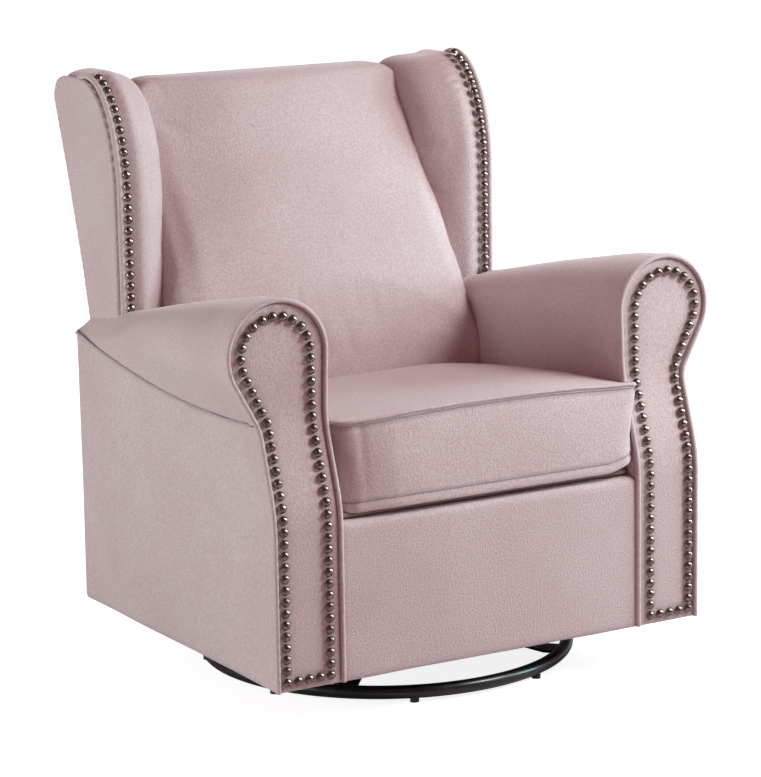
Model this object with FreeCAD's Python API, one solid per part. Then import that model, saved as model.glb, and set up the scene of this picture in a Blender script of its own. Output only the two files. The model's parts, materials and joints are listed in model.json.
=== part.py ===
import FreeCAD, Part
import math
import os

# Wingback swivel glider chair, in mm. The chair faces -Y and +Z is up.
# It is built about the swivel axis on the floor, then moved so that the origin
# lies under the middle of its outline. Left is -X, as seen from the front.

V = FreeCAD.Vector

# Fits
seat_gap = 0.3          # between pieces that are stapled, glued or laid together
running_gap = 0.05      # radial play of a pin in its bush
end_play = 0.4          # side play of a link on its pin

# Ring base
ring_r = 290.0
ring_tube_d = 19.0
glide_d = 14.0
glide_h = 6.5
glide_count = 8
spoke_count = 4
spoke_w = 38.0
spoke_t = 5.0
hub_r = 95.0
hub_z = 46.0
hub_t = 6.0

# Swivel bearing
race_r = 72.0
race_w = 24.0
race_t = 6.0
ball_d = 9.0
ball_count = 12
groove_depth = 2.5
groove_play = 0.1
kingpin_d = 16.0
kingpin_head_d = 26.0
kingpin_head_h = 8.0
kingpin_tail = 4.0

# Turntable and glider stands
turntable_t = 6.0
turntable_depth = 230.0
stand_x = 174.0
stand_t = 4.0
stand_foot_w = 50.0
stand_foot_len = 220.0
stand_edge = 17.0
stand_corner_r = 15.0
stand_window_d = 56.0
tie_bar_d = 14.0
tie_bar_y = 100.0
tie_bar_drop = 10.0

# Swing links and their pivots
pivot_y = 150.0
upper_pivot_z = 235.0
lower_pivot_z = 110.0
pin_d = 12.0
pin_head_d = 18.0
pin_head_t = 3.0
bush_d = 20.0
bush_stand = 0.2
link_w = 30.0
link_t = 6.0
link_side_gap = 5.0

# Carriage under the seat box
carriage_t = 4.0
carriage_setback = 40.5
carriage_beam_h = 50.0
carriage_ear_w = 36.0
carriage_ear_root = 90.0
cross_tube_d = 22.0
cross_tube_wall = 2.0
cross_tube_edge = 20.0
bolt_d = 8.0
bolt_head_d = 14.0
bolt_head_h = 5.0
bolt_len = 44.0
bolt_spread = 230.0
bolt_edge = 11.0

# Body
body_depth = 645.0
skirt_z = 70.0
arm_inner_x = 261.0
arm_outer_x = 378.0

# Arm facings: a straight leg that leans back to a scroll
facing_t = 24.0
facing_setback = 42.0
facing_lean_deg = 18.0
facing_bend_r = 180.0
facing_bend_z = 308.0
scroll_r = 82.0
scroll_z = 565.0
neck_z = 458.0
neck_r = 60.0
welt_w = 7.0
welt_h = 4.0

# Nails
nail_d = 15.5
nail_h = 5.5
nail_shoulder_d = 11.2
nail_shoulder_h = 3.6
nail_sides = 8
nail_pitch = 17.35
nail_inset_outer = 16.0
nail_inset_inner = 27.5
nail_inset_bottom = 16.0
nail_neck_rise = 6.0
bottom_nails = 3

# Arms
side_panel_t = 22.0
inner_arm_t = 39.0
seam_front_z = 467.0
seam_middle_z = 463.0
seam_rear_z = 513.0
arm_drop = 124.0
arm_drop_bow = 0.35
scroll_steps = 5
arm_post_depth = 45.0
arm_rail_h = 40.0
post_foot = 2.0

# Seat box
frame_z = 215.0
side_rail_h = 70.0
rail_t = 35.0
front_rail_top = 312.0
seat_tilt_deg = 5.5
apron_setback = 6.0
apron_t = 24.0
apron_top_z = 316.0
apron_round = 10.0
block_leg = 60.0
block_h = 30.0
block_drop = 8.0

# Elastic seat webbing and its clips
web_count = 5
web_spacing = 100.0
web_w = 60.0
web_t = 2.0
web_clip_w = 64.0
web_clip_l = 22.0
web_clip_h = 4.2
web_clip_play = 0.1

# Seat cushion and deck
deck_t = 8.0
deck_lift = 4.5
deck_side_gap = 1.0
cushion_side_gap = 2.0
cushion_h = 122.0
cushion_crown = 16.0
cushion_draw = 4.0
cushion_corner_r = 26.0
cushion_setback = 4.0

# Back
panel_t = 12.0
post_w = 40.0
post_t = 39.0
post_outer_x = 250.0
back_bend_z = 515.0
back_lean_y = 124.0
back_bow = 8.0
back_top_z = 888.0
back_rail_h = 45.0
back_rail_z = 300.0
strap_count = 5
strap_h = 50.0
strap_t = 2.2
back_cushion_rise = 19.0
back_cushion_depth = 146.5
back_cushion_half_low = 250.0
back_cushion_half_top = 240.0
back_cushion_corner_r = 54.0
back_cushion_lumbar_z = 500.0
back_cushion_top_depth = 92.5
back_cushion_crown_r = 1400.0
back_cushion_soft_r = 240.0
back_cushion_top_r = 40.0
back_cushion_lip = 4.0
back_cushion_lip_r = 10.0
back_cushion_skin = 1.0

# Wings
wing_outer_x = 350.0
wing_panel_t = 8.0
wing_inner_x = 252.0
wing_reach = 100.0
wing_curve_h = 181.0
wing_curve_y = 107.0
wing_rise = 29.0
wing_rear_r = 36.0
wing_pad_bulge = 6.0
wing_pad_round = 30.0
wing_low_front_z = 500.0
wing_low_rear_z = 517.0
wing_nail_x = 333.0
wing_nail_lift = 13.0
wing_nail_end = 0.9
wing_welt_run = 40.0
wing_welt_w = 6.5

# Places worked out from the sizes above
front_y = -body_depth / 2
rear_y = body_depth / 2
tube_r = ring_tube_d / 2
ring_z = glide_h + tube_r
hub_top = hub_z + hub_t
ball_z = hub_top + race_t - groove_depth + ball_d / 2
upper_race_z = ball_z + ball_d / 2 - groove_depth
turntable_z = upper_race_z + race_t
turntable_top = turntable_z + turntable_t
link_x = stand_x + stand_t + link_side_gap
carriage_x = link_x + link_t + link_side_gap
carriage_half = body_depth / 2 - carriage_setback
cross_tube_y = carriage_half - cross_tube_edge
scroll_y = front_y + facing_setback
scroll_top = scroll_z + scroll_r
facing_back = scroll_y + facing_t
inner_arm_x = arm_inner_x + inner_arm_t
side_panel_x = arm_outer_x - side_panel_t
front_rail_y = front_y + apron_setback + apron_t
front_rail_mid = front_rail_y + rail_t / 2
roll_end_y = rear_y - panel_t - 3 * seat_gap
wing_front_y = rear_y - wing_reach
wing_panel_x = wing_outer_x - wing_panel_t
wing_top_z = back_top_z + wing_rise
wing_curve_z = wing_top_z - wing_curve_h
back_cushion_top = back_top_z + back_cushion_rise
far = 2000.0
X_AXIS = V(1, 0, 0)
Z_AXIS = V(0, 0, 1)
ORIGIN = V(0, 0, 0)


# Helpers

def line(a, b):
    return Part.LineSegment(a, b).toShape()


def arc(a, middle, b):
    return Part.Arc(a, middle, b).toShape()


def polyline(points):
    return [line(a, b) for a, b in zip(points, points[1:])]


def prism(edges, along):
    return Part.Face(Part.Wire(edges)).extrude(along)


def polygon_prism(points, along):
    return prism(polyline(points + points[:1]), along)


def block(x0, x1, y0, y1, z0, z1):
    return Part.makeBox(x1 - x0, y1 - y0, z1 - z0, V(x0, y0, z0))


def rod(d, start, along):
    return Part.makeCylinder(d / 2, along.Length, start, along)


def left_of(shape):
    return shape.mirror(ORIGIN, X_AXIS)


def both(shape):
    return Part.makeCompound([left_of(shape), shape])


def edges_along_x(shape, y, z):
    """Edges that run along X and pass nearest to a point of the side view."""
    runs = [e for e in shape.Edges if e.BoundBox.YLength + e.BoundBox.ZLength < 0.1]
    return [min(runs, key=lambda e: math.hypot(e.CenterOfMass.y - y, e.CenterOfMass.z - z))]


# Ring base

def base_ring():
    return Part.makeTorus(ring_r, tube_r, V(0, 0, ring_z))


def floor_glides(ring):
    glides = []
    for i in range(glide_count):
        angle = 2 * math.pi * (i + 0.5) / glide_count
        foot = V(ring_r * math.cos(angle), ring_r * math.sin(angle), 0)
        glides.append(rod(glide_d, foot, V(0, 0, ring_z)).cut(ring))
    return Part.makeCompound(glides)


def spoke():
    """One pressed spoke: flat at the ring, sloping up to the hub."""
    toe = ring_r - tube_r - spoke_w / 2
    heel = hub_r + spoke_w / 2
    low = ring_z - spoke_t / 2
    points = [V(0, -spoke_w / 2, hub_z), V(heel, -spoke_w / 2, hub_z), V(toe, -spoke_w / 2, low)]
    points += [V(ring_r, -spoke_w / 2, low), V(ring_r, -spoke_w / 2, low + spoke_t)]
    points += [V(toe, -spoke_w / 2, low + spoke_t), V(heel, -spoke_w / 2, hub_z + spoke_t)]
    points += [V(0, -spoke_w / 2, hub_z + spoke_t)]
    return polygon_prism(points, V(0, spoke_w, 0))


def base_spokes():
    frame = rod(2 * hub_r, V(0, 0, hub_z), V(0, 0, hub_t))
    for i in range(spoke_count):
        turned = spoke()
        turned.rotate(ORIGIN, Z_AXIS, 360 * (i + 0.5) / spoke_count)
        frame = frame.fuse(turned)
    weld_seat = Part.makeTorus(ring_r, tube_r, V(0, 0, ring_z))
    outside = rod(3 * ring_r, ORIGIN, V(0, 0, hub_z)).cut(rod(2 * ring_r, ORIGIN, V(0, 0, hub_z)))
    frame = frame.cut(outside).cut(weld_seat).cut(rod(kingpin_d, ORIGIN, V(0, 0, 2 * hub_z)))
    return frame.removeSplitter()


def race(z):
    ring = rod(2 * race_r + race_w, V(0, 0, z), V(0, 0, race_t))
    ring = ring.cut(rod(2 * race_r - race_w, V(0, 0, z), V(0, 0, race_t)))
    return ring.cut(Part.makeTorus(race_r, ball_d / 2 + groove_play, V(0, 0, ball_z)))


def bearing_balls():
    balls = []
    for i in range(ball_count):
        angle = 2 * math.pi * i / ball_count
        balls.append(Part.makeSphere(ball_d / 2, V(race_r * math.cos(angle), race_r * math.sin(angle), ball_z)))
    return Part.makeCompound(balls)


def kingpin():
    head = rod(kingpin_head_d, V(0, 0, hub_z - kingpin_head_h), V(0, 0, kingpin_head_h))
    top = turntable_top + seat_gap + kingpin_head_h + kingpin_tail
    return head.fuse(rod(kingpin_d, V(0, 0, hub_z), V(0, 0, top - hub_z)))


def kingpin_nut():
    corners = []
    for i in range(6):
        angle = math.radians(60 * i)
        reach = kingpin_head_d / 2
        corners.append(V(reach * math.cos(angle), reach * math.sin(angle), turntable_top + seat_gap))
    nut = polygon_prism(corners, V(0, 0, kingpin_head_h))
    return nut.cut(rod(kingpin_d, V(0, 0, turntable_top), V(0, 0, far)))


# Turntable and glider stands

def turntable():
    half = stand_x + stand_t
    plate = block(-half, half, -turntable_depth / 2, turntable_depth / 2, turntable_z, turntable_top)
    return plate.cut(rod(kingpin_d + 2 * running_gap, V(0, 0, turntable_z), V(0, 0, turntable_t)))


def glider_stand():
    """Upright plate that flares to the two upper pivots, with a foot on the turntable."""
    top = upper_pivot_z + stand_edge
    reach = pivot_y + stand_edge
    foot = stand_foot_len / 2
    side = [V(stand_x, -foot, turntable_top), V(stand_x, foot, turntable_top)]
    side += [V(stand_x, reach, upper_pivot_z), V(stand_x, reach, top)]
    side += [V(stand_x, -reach, top), V(stand_x, -reach, upper_pivot_z)]
    plate = polygon_prism(side, V(stand_t, 0, 0))
    for end in (-1, 1):
        plate = plate.makeFillet(stand_corner_r, edges_along_x(plate, end * reach, top))
    for y in (-pivot_y / 2, pivot_y / 2):
        middle = (turntable_top + top) / 2
        plate = plate.cut(rod(stand_window_d, V(stand_x, y, middle), V(stand_t, 0, 0)))
    for y in (-pivot_y, pivot_y):
        plate = plate.cut(rod(pin_d, V(stand_x, y, upper_pivot_z), V(stand_t, 0, 0)))
    for y in (-tie_bar_y, tie_bar_y):
        plate = plate.cut(rod(tie_bar_d, V(stand_x, y, upper_pivot_z - tie_bar_drop), V(stand_t, 0, 0)))
    ledge = block(stand_x - stand_foot_w, stand_x, -foot, foot, turntable_top, turntable_top + stand_t)
    return plate.fuse(ledge).removeSplitter()


def stand_tie_bars():
    half = stand_x + stand_t
    bars = []
    for y in (-tie_bar_y, tie_bar_y):
        bars.append(rod(tie_bar_d, V(-half, y, upper_pivot_z - tie_bar_drop), V(2 * half, 0, 0)))
    return Part.makeCompound(bars)


def headed_pin(x0, x1, y, z):
    """A pin with a head outside each of its two ends."""
    shaft = rod(pin_d, V(x0, y, z), V(x1 - x0, 0, 0))
    inner = rod(pin_head_d, V(x0 - pin_head_t, y, z), V(pin_head_t, 0, 0))
    outer = rod(pin_head_d, V(x1, y, z), V(pin_head_t, 0, 0))
    return shaft.fuse([inner, outer]).removeSplitter()


def upper_pivot_pins():
    pins = [headed_pin(stand_x, link_x + link_t + end_play, y, upper_pivot_z) for y in (-pivot_y, pivot_y)]
    return both(Part.makeCompound(pins))


def swing_link(y):
    """Flat link with a rounded eye and a bush at each end."""
    r = link_w / 2
    top = V(link_x, y, upper_pivot_z)
    low = V(link_x, y, lower_pivot_z)
    edges = [line(low + V(0, -r, 0), top + V(0, -r, 0))]
    edges.append(arc(top + V(0, -r, 0), top + V(0, 0, r), top + V(0, r, 0)))
    edges.append(line(top + V(0, r, 0), low + V(0, r, 0)))
    edges.append(arc(low + V(0, r, 0), low + V(0, 0, -r), low + V(0, -r, 0)))
    strap = prism(edges, V(link_t, 0, 0))
    bushes = []
    for eye in (low, top):
        strap = strap.cut(rod(bush_d, eye, V(link_t, 0, 0)))
        start = eye - V(bush_stand, 0, 0)
        length = V(link_t + 2 * bush_stand, 0, 0)
        bushes.append(rod(bush_d, start, length).cut(rod(pin_d + 2 * running_gap, start, length)))
    return Part.makeCompound([strap] + bushes)


# Carriage

def carriage_rail():
    """Side plate with two hanging ears and a flange under the seat rail."""
    x0 = carriage_x
    half = carriage_half
    low = frame_z - carriage_beam_h
    ear_r = carriage_ear_w / 2
    plate = block(x0, x0 + carriage_t, -half, half, low, frame_z)
    for y in (-pivot_y, pivot_y):
        root = carriage_ear_root / 2
        ear = [V(x0, y - root, low), V(x0, y + root, low)]
        ear += [V(x0, y + ear_r, lower_pivot_z), V(x0, y - ear_r, lower_pivot_z)]
        plate = plate.fuse(polygon_prism(ear, V(carriage_t, 0, 0)))
        plate = plate.fuse(rod(carriage_ear_w, V(x0, y, lower_pivot_z), V(carriage_t, 0, 0)))
    plate = plate.fuse(block(x0, inner_arm_x - seat_gap, -half, half, frame_z - carriage_t, frame_z))
    for y in (-pivot_y, pivot_y):
        plate = plate.cut(rod(pin_d, V(x0, y, lower_pivot_z), V(carriage_t, 0, 0)))
    return plate.cut(bolt_holes()).removeSplitter()


def bolt_places():
    return [V(inner_arm_x - bolt_edge - bolt_head_d / 2, y, frame_z) for y in (-bolt_spread, 0, bolt_spread)]


def bolt_holes():
    return Part.makeCompound([rod(bolt_d, p - V(0, 0, bolt_len), V(0, 0, 2 * bolt_len)) for p in bolt_places()])


def frame_bolts():
    bolts = []
    for p in bolt_places():
        under = p - V(0, 0, carriage_t)
        head = rod(bolt_head_d, under - V(0, 0, bolt_head_h), V(0, 0, bolt_head_h))
        bolts.append(head.fuse(rod(bolt_d, under, V(0, 0, bolt_len))))
    return both(Part.makeCompound(bolts))


def lower_pivot_pins():
    x0 = link_x - end_play
    x1 = carriage_x + carriage_t
    return both(Part.makeCompound([headed_pin(x0, x1, y, lower_pivot_z) for y in (-pivot_y, pivot_y)]))


def cross_tubes():
    tubes = []
    z = frame_z - carriage_beam_h / 2
    for y in (-cross_tube_y, cross_tube_y):
        start = V(-carriage_x, y, z)
        along = V(2 * carriage_x, 0, 0)
        tubes.append(rod(cross_tube_d, start, along).cut(rod(cross_tube_d - 2 * cross_tube_wall, start, along)))
    return Part.makeCompound(tubes)


# The serpentine line of the arm facings, in the side view

def serpentine(depth, z0, z1):
    """Edges of the facing's side line from z0 up to z1, at a depth behind its front."""
    lean = math.radians(facing_lean_deg)
    low_y = front_y + facing_bend_r
    high_y = scroll_y - facing_bend_r
    low_r = facing_bend_r - depth
    high_r = facing_bend_r + depth
    top_z = lean_top()

    def low(angle):
        return V(0, low_y - low_r * math.cos(angle), facing_bend_z + low_r * math.sin(angle))

    def high(angle):
        return V(0, high_y + high_r * math.cos(angle), top_z - high_r * math.sin(angle))

    edges = [line(V(0, front_y + depth, z0), low(0)), arc(low(0), low(lean / 2), low(lean))]
    edges += [line(low(lean), high(lean)), arc(high(lean), high(lean / 2), high(0))]
    edges.append(line(high(0), V(0, scroll_y + depth, z1)))
    return edges


def lean_top():
    """Height at which the facing is upright again."""
    lean = math.radians(facing_lean_deg)
    straight = facing_setback - 2 * facing_bend_r * (1 - math.cos(lean))
    return facing_bend_z + 2 * facing_bend_r * math.sin(lean) + straight / math.tan(lean)


def serpentine_slab(front, back):
    """Everything between two depths of the serpentine line, across the whole chair."""
    z0 = skirt_z - seat_gap
    z1 = scroll_top + scroll_r
    edges = serpentine(front, z0, z1)
    edges.append(line(V(0, scroll_y + front, z1), V(0, scroll_y + back, z1)))
    edges += serpentine(back, z0, z1)
    edges.append(line(V(0, front_y + back, z0), V(0, front_y + front, z0)))
    slab = Part.Face(Part.Wire(Part.__sortEdges__(edges))).extrude(V(far, 0, 0))
    slab.translate(V(-far / 2, 0, 0))
    return slab


def ahead_of_arms():
    """Space taken by the facings: what the pieces behind them are cut by."""
    z0 = skirt_z - seat_gap
    z1 = scroll_top + scroll_r
    back = facing_t + seat_gap
    edges = serpentine(back, z0, z1)
    edges += polyline([V(0, scroll_y + back, z1), V(0, front_y - facing_t, z1), V(0, front_y - facing_t, z0)])
    edges.append(line(V(0, front_y - facing_t, z0), V(0, front_y + back, z0)))
    space = Part.Face(Part.Wire(Part.__sortEdges__(edges))).extrude(V(far, 0, 0))
    space.translate(V(-far / 2, 0, 0))
    return space


def facing_place(z):
    """Point and outward direction of the facing's front at a height, in the side view."""
    lean = math.radians(facing_lean_deg)
    rise_low = facing_bend_r * math.sin(lean)
    top_z = lean_top()
    if z <= facing_bend_z:
        return front_y, 0.0
    if z <= facing_bend_z + rise_low:
        angle = math.asin((z - facing_bend_z) / facing_bend_r)
        return front_y + facing_bend_r * (1 - math.cos(angle)), angle
    if z >= top_z:
        return scroll_y, 0.0
    if z >= top_z - rise_low:
        angle = math.asin((top_z - z) / facing_bend_r)
        return scroll_y - facing_bend_r * (1 - math.cos(angle)), angle
    start = front_y + facing_bend_r * (1 - math.cos(lean))
    return start + (z - facing_bend_z - rise_low) * math.tan(lean), lean


# Front outline of an arm

def touch_angle(outer_x, corner_z, centre_x, r):
    """Direction of the neck line that leaves the leg's corner and just touches the scroll."""
    away = math.hypot(outer_x - centre_x, corner_z - scroll_z)
    return math.atan2(scroll_z - corner_z, centre_x - outer_x) - math.asin(r / away)


def arm_outline(inner_x, outer_x, low_z, corner_z, r, bend_r):
    """Open outline from the leg's outer bottom corner, over the scroll, to its inner bottom corner."""
    cx = inner_x + r
    way = touch_angle(outer_x, corner_z, cx, r)
    turn = math.pi / 2 - way
    cut = bend_r * math.tan(turn / 2)
    bend = V(outer_x + bend_r, 0, corner_z - cut)
    start = V(outer_x, 0, corner_z - cut)
    middle = bend + V(-bend_r * math.cos(turn / 2), 0, bend_r * math.sin(turn / 2))
    end = bend + V(-bend_r * math.cos(turn), 0, bend_r * math.sin(turn))

    def scroll(angle):
        return V(cx + r * math.cos(angle), 0, scroll_z + r * math.sin(angle))

    touch = way - math.pi / 2
    top = math.pi / 2
    edges = [line(V(outer_x, 0, low_z), start), arc(start, middle, end), line(end, scroll(touch))]
    edges.append(arc(scroll(touch), scroll((touch + top) / 2), scroll(top)))
    edges.append(arc(scroll(top), scroll(0.75 * math.pi), scroll(math.pi)))
    edges.append(line(scroll(math.pi), V(inner_x, 0, low_z)))
    return edges


def arm_front(inset):
    """Closed arm outline drawn in by an inset, as a long bar along Y."""
    inner = arm_inner_x + inset
    outer = arm_outer_x - inset
    low = skirt_z + inset
    edges = arm_outline(inner, outer, low, neck_z + inset / 3, scroll_r - inset, neck_r + inset)
    edges.append(line(V(inner, 0, low), V(outer, 0, low)))
    bar = prism(edges, V(0, body_depth, 0))
    bar.translate(V(0, front_y - facing_t, 0))
    return bar


def arm_facing():
    return arm_front(0).common(serpentine_slab(0, facing_t))


def facing_welt():
    """Raised cord along the edge of the facing."""
    rim = arm_front(0).cut(arm_front(welt_w))
    return rim.common(serpentine_slab(-welt_h, 0))


# Nails

def nail(place, out):
    """Domed nail head with its flat side at a place, facing a direction."""
    low = nail_ring(nail_d / 2, 0)
    high = nail_ring(nail_shoulder_d / 2, nail_shoulder_h)
    tip = V(0, 0, nail_h)
    faces = [Part.Face(Part.makePolygon(low + low[:1]))]
    for i in range(nail_sides):
        j = (i + 1) % nail_sides
        faces.append(Part.Face(Part.makePolygon([low[i], low[j], high[j], high[i], low[i]])))
        faces.append(Part.Face(Part.makePolygon([high[i], high[j], tip, high[i]])))
    head = Part.Solid(Part.makeShell(faces))
    head.Placement = FreeCAD.Placement(place + out * seat_gap, FreeCAD.Rotation(Z_AXIS, out))
    return head


def nail_ring(r, z):
    angles = [2 * math.pi * (i + 0.5) / nail_sides for i in range(nail_sides)]
    return [V(r * math.cos(a), r * math.sin(a), z) for a in angles]


def facing_nails():
    """A row of nails round the facing, at an even pitch."""
    inner = arm_inner_x + nail_inset_inner
    outer = arm_outer_x - nail_inset_outer
    low = skirt_z + nail_inset_bottom
    r = scroll_r - nail_inset_inner + (nail_inset_inner - nail_inset_outer) / 4
    row = Part.Wire(arm_outline(inner, outer, low, neck_z + nail_neck_rise, r, neck_r / 2))
    count = round(row.Length / nail_pitch) + 1
    places = [(p.x, p.z) for p in row.discretize(count)]
    for i in range(bottom_nails):
        places.append((inner + (outer - inner) * (i + 1) / (bottom_nails + 1), low))
    heads = []
    for x, z in places:
        y, lean = facing_place(z)
        heads.append(nail(V(x, y, z), V(0, -math.cos(lean), math.sin(lean))))
    return both(Part.makeCompound(heads))


# Arms

def seam_line(raised):
    """The sewn line under the scroll, in the side view, from front to rear."""
    lift = V(0, 0, raised)
    start = V(0, front_y, seam_front_z)
    return arc(start + lift, V(0, 0, seam_middle_z) + lift, V(0, rear_y, seam_rear_z) + lift)


def under_seam(raised):
    """Everything below the sewn line."""
    edges = [seam_line(raised)]
    edges += polyline([V(0, rear_y, seam_rear_z + raised), V(0, rear_y, 0), V(0, front_y, 0)])
    edges.append(line(V(0, front_y, 0), V(0, front_y, seam_front_z + raised)))
    space = prism(edges, V(far, 0, 0))
    space.translate(V(-far / 2, 0, 0))
    return space


def seam_height(y):
    """The sewn line as a parabola through its three heights, close to its arc."""
    t = (y - front_y) / body_depth
    bow = 2 * (seam_front_z + seam_rear_z - 2 * seam_middle_z)
    return seam_front_z + t * (seam_rear_z - seam_front_z - bow) + bow * t * t


def arm_run(y):
    """How far along the arm a place lies: 0 at the facing, 1 at the rear end."""
    return max(0.0, (y - facing_back) / (roll_end_y - facing_back))


def arm_top(y):
    """Height of the top of the arm, which drops to the rear in a slight bow."""
    t = arm_run(y)
    return scroll_top - arm_drop * (t + arm_drop_bow * (t * t - t))


def scroll_section(y):
    """Cross-section of the arm's padded scroll, which shrinks and drops to the rear."""
    t = arm_run(y)
    seam = seam_height(y)
    low = seam - scroll_r / 4
    top = arm_top(y)
    wide = arm_outer_x - arm_inner_x
    half = (wide + (2 * scroll_r - wide) * (1 - t)) / 2
    rise = (top - seam) * scroll_r / (scroll_top - seam_front_z)
    cx = arm_inner_x + half
    touch = touch_angle(arm_outer_x, neck_z, arm_inner_x + scroll_r, scroll_r) - math.pi / 2

    def on_scroll(angle):
        return V(cx + half * math.cos(angle), y, top - rise + rise * math.sin(angle))

    corner = V(arm_outer_x, y, seam)
    upright = math.pi / 2
    edges = [line(V(arm_inner_x, y, low), V(arm_outer_x, y, low)), line(V(arm_outer_x, y, low), corner)]
    edges.append(line(corner, on_scroll(touch)))
    edges.append(arc(on_scroll(touch), on_scroll((touch + upright) / 2), on_scroll(upright)))
    edges.append(arc(on_scroll(upright), on_scroll(0.75 * math.pi), on_scroll(math.pi)))
    edges.append(line(on_scroll(math.pi), V(arm_inner_x, y, low)))
    return Part.Wire(edges)


def arm_scroll():
    stations = [front_y, facing_back]
    for i in range(scroll_steps):
        stations.append(facing_back + (roll_end_y - facing_back) * (i + 1) / scroll_steps)
    loft = Part.makeLoft([scroll_section(y) for y in stations], True, False)
    return loft.cut(under_seam(seat_gap)).cut(ahead_of_arms())


def arm_board(x0, x1, y0, y1, z0):
    """A board of the arm that ends at the sewn line and behind the facing."""
    board = block(x0, x1, y0, y1, z0, scroll_top)
    return board.common(under_seam(0)).cut(ahead_of_arms())


def side_panel():
    return arm_board(side_panel_x, arm_outer_x, front_y, rear_y, skirt_z)


def inner_arm():
    return arm_board(arm_inner_x, inner_arm_x, front_y, post_front(), frame_z + side_rail_h + seat_gap)


def arm_posts():
    x0 = inner_arm_x + seat_gap
    x1 = side_panel_x - seat_gap
    front = arm_board(x0, x1, front_y, facing_back + arm_post_depth, skirt_z + post_foot)
    rear_face = rear_y - panel_t - seat_gap
    rear = arm_board(x0, x1, rear_face - arm_post_depth, rear_face, skirt_z + post_foot)
    return both(Part.makeCompound([front, rear]))


def arm_rails():
    x0 = inner_arm_x + seat_gap
    x1 = side_panel_x - seat_gap
    y0 = facing_back + arm_post_depth
    y1 = rear_y - panel_t - seat_gap - arm_post_depth
    rail = block(x0, x1, y0, y1, skirt_z, scroll_top).common(under_seam(0))
    return both(rail.cut(under_seam(-arm_rail_h)))


# Seat box

def seat_plane(y):
    """Height of the sloping plane on which the webbing lies."""
    return front_rail_top - math.tan(math.radians(seat_tilt_deg)) * (y - front_rail_mid)


def tilt_seat(shape):
    """Moves what was drawn on a level plane through the front rail's top onto the sloping one."""
    turned = shape.copy()
    turned.rotate(V(0, front_rail_mid, front_rail_top), X_AXIS, -seat_tilt_deg)
    return turned


def cross_rail(y0):
    """Front or rear seat rail, bevelled to the slope."""
    half = arm_inner_x - seat_gap
    y1 = y0 + rail_t
    side = [V(-half, y0, frame_z), V(-half, y1, frame_z)]
    side += [V(-half, y1, seat_plane(y1)), V(-half, y0, seat_plane(y0))]
    return polygon_prism(side, V(2 * half, 0, 0))


def rear_rail_y():
    return post_front() - seat_gap - rail_t


def seat_side_rail():
    rail = block(arm_inner_x, inner_arm_x, front_rail_y, post_front(), frame_z, frame_z + side_rail_h)
    return rail.cut(bolt_holes())


def corner_blocks():
    x = arm_inner_x - seat_gap
    blocks = []
    for y, way in ((front_rail_y + rail_t + seat_gap, 1), (rear_rail_y() - seat_gap, -1)):
        z = min(seat_plane(y), seat_plane(y + way * block_leg)) - block_drop - block_h
        corners = [V(x, y, z), V(x - block_leg, y, z), V(x, y + way * block_leg, z)]
        blocks.append(polygon_prism(corners, V(0, 0, block_h)))
    return both(Part.makeCompound(blocks))


def web_rows():
    return [(i - (web_count - 1) / 2) * web_spacing for i in range(web_count)]


def web_ends():
    """Places along the level seat plane where the webbing is clipped to the rails."""
    run = rear_rail_y() + rail_t / 2 - front_rail_mid
    return front_rail_mid, front_rail_mid + run / math.cos(math.radians(seat_tilt_deg))


def web_band(x, width, thick, play):
    """One length of webbing on the level seat plane, with play all round."""
    y0, y1 = web_ends()
    reach = web_clip_l / 4
    z = front_rail_top + seat_gap
    return block(x - width / 2 - play, x + width / 2 + play, y0 - reach - play, y1 + reach + play,
                 z - play, z + thick + play)


def seat_webbing():
    return tilt_seat(Part.makeCompound([web_band(x, web_w, web_t, 0) for x in web_rows()]))


def webbing_clips():
    """Folded clips that hold the ends of the webbing on the front and rear rails."""
    clips = []
    for x in web_rows():
        for y in web_ends():
            clip = block(x - web_clip_w / 2, x + web_clip_w / 2, y - web_clip_l / 2, y + web_clip_l / 2,
                         front_rail_top, front_rail_top + web_clip_h)
            clips.append(clip.cut(web_band(x, web_w, web_t, web_clip_play)))
    return tilt_seat(Part.makeCompound(clips))


def seat_deck():
    half = arm_inner_x - deck_side_gap
    z0 = front_rail_top + deck_lift
    rear = post_front() - strap_t - 2 * seat_gap
    return tilt_seat(block(-half, half, front_rail_y, rear, z0, z0 + deck_t))


def deck_top():
    return front_rail_top + deck_lift + deck_t + seat_gap


def back_cushion_front():
    """Place of the back cushion's upright lumbar face."""
    return back_y(back_cushion_rear_depth(), frame_z) - back_cushion_depth


def cushion_rear():
    """Rear end of the level seat cushion, such that its tilted top ends just before the back cushion."""
    tilt = math.radians(seat_tilt_deg)
    rise = deck_top() + cushion_h + cushion_crown - front_rail_top
    run = back_cushion_front() - cushion_side_gap - front_rail_mid - rise * math.sin(tilt)
    return front_rail_mid + run / math.cos(tilt)


def seat_cushion():
    """Box cushion with drawn-in sides, round front corners and a crowned top."""
    half = arm_inner_x - cushion_side_gap
    y0 = front_y + cushion_setback
    y1 = cushion_rear()
    middle = (y0 + y1) / 2
    z0 = deck_top()
    corners = [V(-half, y0, z0), V(half, y0, z0), V(half, y1, z0), V(-half, y1, z0)]
    edges = [line(corners[0], corners[1])]
    edges.append(arc(corners[1], V(half - cushion_draw, middle, z0), corners[2]))
    edges.append(line(corners[2], corners[3]))
    edges.append(arc(corners[3], V(cushion_draw - half, middle, z0), corners[0]))
    body = prism(edges, V(0, 0, cushion_h + cushion_crown))
    fronts = [e for e in body.Edges if e.BoundBox.ZLength > cushion_h and e.CenterOfMass.y < middle]
    body = body.makeFillet(cushion_corner_r, fronts)
    reach = math.hypot(half, (y1 - y0) / 2)
    dome_r = (reach ** 2 + cushion_crown ** 2) / (2 * cushion_crown)
    dome = Part.makeSphere(dome_r, V(0, middle, z0 + cushion_h + cushion_crown - dome_r))
    return tilt_seat(body.common(dome))


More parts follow.
